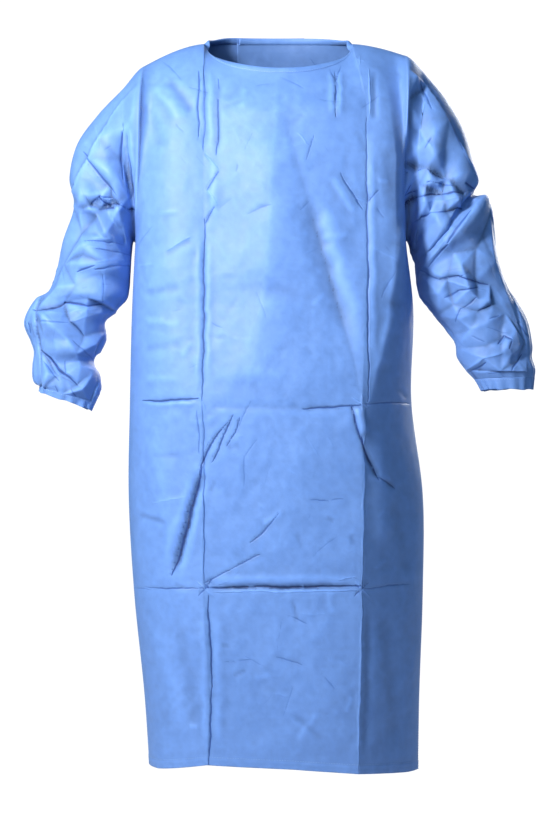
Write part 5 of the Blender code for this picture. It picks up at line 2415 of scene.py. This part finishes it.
RIGHT_FOLDS = (
    Fold(209, 49, 217, 139, 1, 8, -3, CRISP),
    Fold(217, 95, 224, 144, 0.6, 6, -2.6, CRISP),
    Fold(227, 55, 247, 105, 1, 7, 2.2, CRISP),
    Fold(247, 103, 235, 139, 0.6, 6, 1.8, CRISP),
    Fold(234, 62, 258, 118, 1.5, 7, -1.6, CRISP),
    Fold(244, 161, 260, 179, 0, 5, 1.8, CRISP),
    Fold(260, 159, 245, 182, 0, 5, -1.8, CRISP),
    Fold(278, 118, 308, 184, 2, 9, -1.4, CRISP),
    Fold(211, 220, 247, 210, -0.6, 7, -3, CRISP),
    Fold(244, 210, 281, 228, -1, 7, -2.6, CRISP),
    Fold(229, 236, 258, 232, -0.5, 6, -2.8, CRISP),
    Fold(255, 232, 296, 240, -0.6, 6, -2, CRISP),
    Fold(204, 284, 232, 256, 0.8, 9, -4, CRISP),
    Fold(225, 258, 271, 253, -0.6, 8, -3.8, CRISP),
    Fold(265, 253, 319, 251, 0.4, 8, -3.4, CRISP),
    Fold(232, 266, 308, 259, -1, 6, 1.6, CRISP),
    Fold(227, 298, 258, 285, -0.6, 7, -3, CRISP),
    Fold(253, 286, 311, 276, -0.6, 7, -2.6, CRISP),
    Fold(211, 256, 234, 246, 0, 6, -3, CRISP),
    Fold(206, 267, 225, 235, 0, 6, -2.4, CRISP),
    Fold(247, 371, 280, 330, 0.6, 6, 2.4, CRISP),
    Fold(276, 333, 321, 277, 0.5, 6, 2.2, CRISP),
    Fold(252, 374, 285, 333, 0.6, 7, -2.6, CRISP),
    Fold(281, 335, 324, 281, 0.5, 7, -2.4, CRISP),
    Fold(314, 231, 331, 244, 0.4, 6, -3, CRISP),
    Fold(324, 256, 337, 267, 0, 5, 1.6, CRISP),
    Fold(239, 376, 268, 394, -1, 8, -3.2, CRISP),
    Fold(265, 394, 303, 389, 0.5, 8, -3.4, CRISP),
    Fold(298, 389, 355, 402, -1, 7, -3.2, CRISP),
    Fold(245, 388, 347, 411, -2, 6, 1.6, CRISP),
    Fold(276, 425, 304, 411, -0.5, 7, -2.4, CRISP),
    Fold(299, 412, 337, 405, -0.4, 7, -2.4, CRISP),
    Fold(298, 463, 304, 440, 0.3, 6, -2.2, CRISP),
    Fold(303, 443, 332, 422, -0.4, 6, -2, CRISP),
    Fold(329, 448, 359, 434, -0.3, 6, -2.4, CRISP),
    Fold(355, 437, 360, 414, 0.3, 5, -2, CRISP),
    Fold(364, 501, 377, 483, 0.4, 6, -2.8, CRISP),
    Fold(375, 483, 388, 494, -0.5, 6, -2.8, CRISP),
    Fold(387, 493, 382, 509, 0, 5, -2.2, CRISP),
    Fold(314, 542, 344, 523, -0.4, 6, 2.4, CRISP),
    Fold(341, 524, 373, 514, -0.4, 6, 2.2, CRISP),
    Fold(318, 547, 347, 529, -0.4, 7, -3, CRISP),
    Fold(322, 544, 337, 564, 0, 6, -2.4, CRISP),
    Fold(398, 460, 418, 490, 0.5, 6, -1.8, CRISP),
    Fold(385, 544, 408, 516, 0.4, 6, -2.2, CRISP),
    Fold(347, 460, 370, 453, 0, 5, -1.4, CRISP),
    Fold(321, 486, 344, 496, 0, 5, -1.4, CRISP),
    Fold(347, 550, 370, 545, 0, 5, -1.2, CRISP),
    Fold(234, 411, 268, 457, 0.8, 7, -2, CRISP),
    Fold(271, 457, 298, 490, 0.5, 6, -1.8, CRISP),
)
LEFT_BENDS = (
    Bend(-205, 52, 0),
    Bend(-252, 95, 1),
    Bend(-293, 161, 2),
    Bend(-240, 144, 3),
    Bend(-248, 197, -5),
    Bend(-263, 226, 3),
    Bend(-306, 193, 4),
    Bend(-271, 240, -1),
    Bend(-324, 226, 4),
    Bend(-314, 256, 4),
    Bend(-281, 259, 5),
    Bend(-243, 259, 4),
    Bend(-298, 269, -6),
    Bend(-268, 271, -5),
    Bend(-233, 279, -6),
    Bend(-334, 269, 2),
    Bend(-321, 279, 3),
    Bend(-283, 277, -4),
    Bend(-321, 314, -5),
    Bend(-354, 366, -4),
    Bend(-261, 286, 5),
    Bend(-281, 322, 3),
    Bend(-314, 338, 4),
    Bend(-248, 305, -1),
    Bend(-232, 315, -7),
    Bend(-314, 353, 0),
    Bend(-252, 338, -3),
    Bend(-321, 368, 4),
    Bend(-278, 366, 5),
    Bend(-230, 365, 2),
    Bend(-281, 381, 4),
    Bend(-283, 427, 5),
    Bend(-232, 401, -7),
    Bend(-255, 450, -6),
    Bend(-327, 401, -1),
    Bend(-357, 407, 2),
    Bend(-307, 424, 0),
    Bend(-396, 440, -3),
    Bend(-347, 432, -6),
    Bend(-284, 437, -5),
    Bend(-378, 455, 6),
    Bend(-311, 447, 6),
    Bend(-334, 463, -4),
    Bend(-311, 486, -5),
    Bend(-291, 450, 1),
    Bend(-294, 499, 5),
    Bend(-276, 476, -7),
    Bend(-350, 480, 5),
    Bend(-377, 486, 2),
    Bend(-327, 513, 4),
    Bend(-298, 526, -4),
    Bend(-390, 509, -4),
    Bend(-354, 550, -5),
    Bend(-324, 567, -3),
    Bend(-321, 539, 5),
    Bend(-370, 549, 5),
    Bend(-380, 575, 2),
    Bend(-317, 573, 5),
    Bend(-296, 542, 1),
    Bend(-293, 568, -5),
    Bend(-301, 595, -4),
    Bend(-350, 582, 3),
)
RIGHT_BENDS = (
    Bend(209, 36, 0),
    Bend(252, 72, 2),
    Bend(285, 128, 3),
    Bend(308, 174, 3),
    Bend(326, 218, 4),
    Bend(230, 59, 4),
    Bend(219, 101, -4),
    Bend(247, 105, 4),
    Bend(224, 141, -4),
    Bend(235, 134, 3),
    Bend(248, 167, 5),
    Bend(212, 205, -6),
    Bend(225, 223, 2),
    Bend(265, 190, 3),
    Bend(281, 177, 0),
    Bend(247, 210, -4),
    Bend(281, 225, -4),
    Bend(268, 236, 4),
    Bend(235, 236, -3),
    Bend(212, 256, 2),
    Bend(209, 282, -6),
    Bend(229, 258, -6),
    Bend(271, 251, -5),
    Bend(316, 251, -6),
    Bend(248, 269, 4),
    Bend(298, 264, 5),
    Bend(229, 295, -4),
    Bend(281, 281, -4),
    Bend(308, 276, -2),
    Bend(271, 302, 4),
    Bend(324, 246, -3),
    Bend(349, 256, 4),
    Bend(359, 282, -2),
    Bend(331, 276, 5),
    Bend(298, 314, 4),
    Bend(281, 327, 5),
    Bend(247, 371, 2),
    Bend(291, 350, -2),
    Bend(334, 341, -5),
    Bend(350, 318, -6),
    Bend(255, 338, 3),
    Bend(304, 368, 1),
    Bend(360, 365, 3),
    Bend(235, 381, -5),
    Bend(281, 396, -5),
    Bend(331, 394, -5),
    Bend(357, 402, -2),
    Bend(271, 416, 5),
    Bend(318, 412, 6),
    Bend(352, 430, 3),
    Bend(235, 411, -3),
    Bend(267, 453, -5),
    Bend(293, 483, -5),
    Bend(291, 434, -4),
    Bend(334, 427, 0),
    Bend(304, 457, 5),
    Bend(331, 447, -4),
    Bend(359, 434, -3),
    Bend(380, 447, -3),
    Bend(393, 476, 3),
    Bend(413, 496, -2),
    Bend(370, 488, -5),
    Bend(380, 503, 4),
    Bend(322, 476, 4),
    Bend(347, 466, 2),
    Bend(301, 506, 2),
    Bend(344, 503, -2),
    Bend(316, 542, 2),
    Bend(342, 522, 5),
    Bend(370, 513, 2),
    Bend(334, 545, -5),
    Bend(370, 544, 3),
    Bend(400, 526, -4),
    Bend(387, 516, 4),
    Bend(413, 545, 2),
)
BACK_FOLDS = (
    Fold(-235, 592, 235, 595, 2, 5.5, -3.0, CRISP),
    Fold(-230, 584, 230, 586, 2, 7, 1.2),
    Fold(-225, 908, 235, 912, -2, 5.5, -3.0, CRISP),
    Fold(-225, 918, 235, 921, -2, 7, 1.2),
    Fold(-117, 60, -116, 590, 1, 5, -2.2, CRISP),
    Fold(-124, 80, -123, 585, 1, 7, 1.4),
    Fold(-116, 598, -107, 1185, 1, 5, -2.4, CRISP),
    Fold(146, 70, 143, 590, -1, 5, -2.2, CRISP),
    Fold(154, 90, 151, 585, -1, 7, 1.4),
    Fold(142, 600, 136, 1185, -1, 5, -2.4, CRISP),
    Fold(-185, 120, -100, 430, 14, 20, -6.0, SOFT, 0.2),
    Fold(-205, 150, -150, 380, 10, 15, 3.2),
    Fold(-90, 160, -60, 420, -6, 26, 3.0),
    Fold(190, 110, 115, 440, -14, 20, -6.0, SOFT, -0.2),
    Fold(212, 150, 160, 390, -10, 15, 3.2),
    Fold(95, 180, 85, 430, 6, 26, 2.6),
    Fold(-160, 440, -40, 478, 8, 9, -3.0),
    Fold(-165, 470, -60, 482, 5, 7, 2.0),
    Fold(-150, 520, -50, 492, -6, 9, -2.6),
    Fold(160, 445, 40, 478, -8, 9, -3.0),
    Fold(165, 475, 60, 482, -5, 7, 2.0),
    Fold(150, 525, 50, 492, 6, 9, -2.6),
    Fold(-30, 520, -70, 890, 8, 28, -3.4),
    Fold(40, 520, 80, 890, -8, 28, -3.4),
    Fold(-150, 700, -185, 1140, 8, 20, -5.0, SOFT, 0.2),
    Fold(-175, 680, -205, 1120, 6, 14, 3.0),
    Fold(165, 690, 200, 1140, -8, 20, -4.4, SOFT, -0.2),
    Fold(-60, 930, -30, 1170, 6, 34, 3.0),
    Fold(80, 930, 60, 1170, -6, 34, -3.0),
    Fold(-129, 578, -102, 606, 0, 4, 1.5, CRISP),
    Fold(-101, 580, -128, 608, 0, 4, -1.5, CRISP),
    Fold(131, 580, 158, 609, 0, 4, 1.5, CRISP),
    Fold(157, 580, 131, 608, 0, 4, -1.5, CRISP),
    Fold(-125, 896, -98, 925, 0, 4, 1.5, CRISP),
    Fold(128, 896, 154, 925, 0, 4, -1.5, CRISP),
    Fold(-70, 300, -20, 350, 4, 6, -1.6, CRISP),
    Fold(60, 640, 110, 700, 4, 7, -1.8, CRISP),
    Fold(-40, 980, 10, 1010, 3, 6, -1.4, CRISP),
)
FORM = GownForm()
FRONT_CUT = Cut(0.71, 1.25, 0.75)
BACK_CUT = Cut(0.375, 1.25, 0.423)


def seam_lines(
    front: BodyPanel, backs: list[BodyPanel], sleeves: list[Sleeve]
) -> list[Array]:
    """Finds where the gown is sewn.

    Args:
        front: The front panel.
        backs: The back panels.
        sleeves: The sleeves.

    Returns:
        The points of each line of stitches.
    """
    lines = []
    panels = [(front, (1, -2)), (backs[0], (1,)), (backs[1], (-2,))]
    for panel, columns in panels:
        shell = Shell(panel.name, panel.grid, -panel.face, panel.thickness)
        lifted = panel.grid + shell.normals() * 0.0002
        for column in columns:
            lines.append(lifted[:, column])
        hem_room = panel.grid[:, 0, 2] - panel.grid[-1, 0, 2]
        row = int(np.argmin(np.abs(hem_room - panel.hem_depth + 0.002)))
        lines.append(lifted[row])
    for panel, column in ((backs[0], -5), (backs[1], 4)):
        lines.append(panel.grid[4:, column] + np.array([0.0, 0.0002, 0.0]))
    for sleeve in sleeves:
        outward = 1 if sleeve.side == Side.LEFT else -1
        normals = Shell("cuff", sleeve.cuff, outward, 0.0, True).normals()
        ring = sleeve.cuff[2] + normals[2] * 0.0002
        lines.append(np.concatenate([ring, ring[:1]]))
    return lines


def make_panels() -> tuple[BodyPanel, BodyPanel, BodyPanel]:
    """Sets out the body's three panels.

    Returns:
        The front, the outer back and the inner back.
    """
    loose = scattered(11, 150, (-235, 240, 40, 1180), 60)
    front = BodyPanel(
        "cloth_front",
        "front_panel",
        Face.FRONT,
        Wrinkling((*FRONT_FOLDS, *loose), 3, 0.8, 1.0, 2.0, 1.3),
        FRONT_CUT,
    )
    outer = BodyPanel(
        "cloth_back_left",
        "back_panel_left",
        Face.BACK,
        Wrinkling((*BACK_FOLDS, *scattered(12, 110, (-235, 70, 20, 1180), 65)), 5, 0.85, 1.0, 2.0, 1.4),
        BACK_CUT,
        end=0.346,
        columns=131,
        outer_flap=True,
    )
    inner = BodyPanel(
        "cloth_back_right",
        "back_panel_right",
        Face.BACK,
        Wrinkling((*BACK_FOLDS, *scattered(13, 110, (-70, 240, 20, 1180), 65)), 7, 0.85, 1.0, 2.0, 1.4),
        BACK_CUT,
        start=-0.567,
        columns=131,
    )
    return front, outer, inner


def make_sleeves() -> list[Sleeve]:
    """Sets out both sleeves.

    Returns:
        The left and the right sleeve.
    """
    made = []
    left = (LEFT_ROWS, LEFT_CUFF_EDGE, LEFT_FOLDS, LEFT_BENDS)
    right = (RIGHT_ROWS, RIGHT_CUFF_EDGE, RIGHT_FOLDS, RIGHT_BENDS)
    left_cuts = Cut(0.44, 0.62, 0.209), Cut(0.30, 0.016, 0.0040, Held.GATHERED)
    right_cuts = Cut(0.46, 0.62, 0.221), Cut(0.30, 0.024, 0.0066, Held.GATHERED)
    for word, side, (rows, edge, folds, bends), seed, box, cuts in (
        ("left", Side.LEFT, left, 21, (-415, -235), left_cuts),
        ("right", Side.RIGHT, right, 31, (235, 425), right_cuts),
    ):
        small = scattered(seed, 90, (*box, 60, 600), 45)
        other = scattered(seed + 5, 90, (*box, 60, 600), 45)
        facets = Crumple(bends)
        made.append(
            Sleeve(
                word,
                side,
                rows,
                edge,
                Wrinkling((*folds, *small), seed, 0.7, 0.5, 1.4, 0.7, facets, 1.6),
                Wrinkling((*folds, *other), seed + 7, 1.2, 0.6, 9.0, 0.8, facets, -1.2),
                *cuts,
            )
        )
    return made


def main() -> None:
    """Builds the dressed gown and its studio."""
    logging.basicConfig(level=logging.INFO, format="%(name)s: %(message)s")
    front, outer, inner = make_panels()
    for panel in (front, outer, inner):
        panel.build(FORM)
    sleeves = make_sleeves()
    for sleeve in sleeves:
        sleeve.build(FORM)
    binding = NeckBinding(outer, front, inner)
    binding.build()
    WaistTies().build()
    NeckTab().build()
    lines = seam_lines(front, [outer, inner], sleeves)
    StitchRow().sew("seam_stitches", [*lines, binding.stitched])
    Studio().build()
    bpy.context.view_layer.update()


if __name__ == "__main__":
    main()
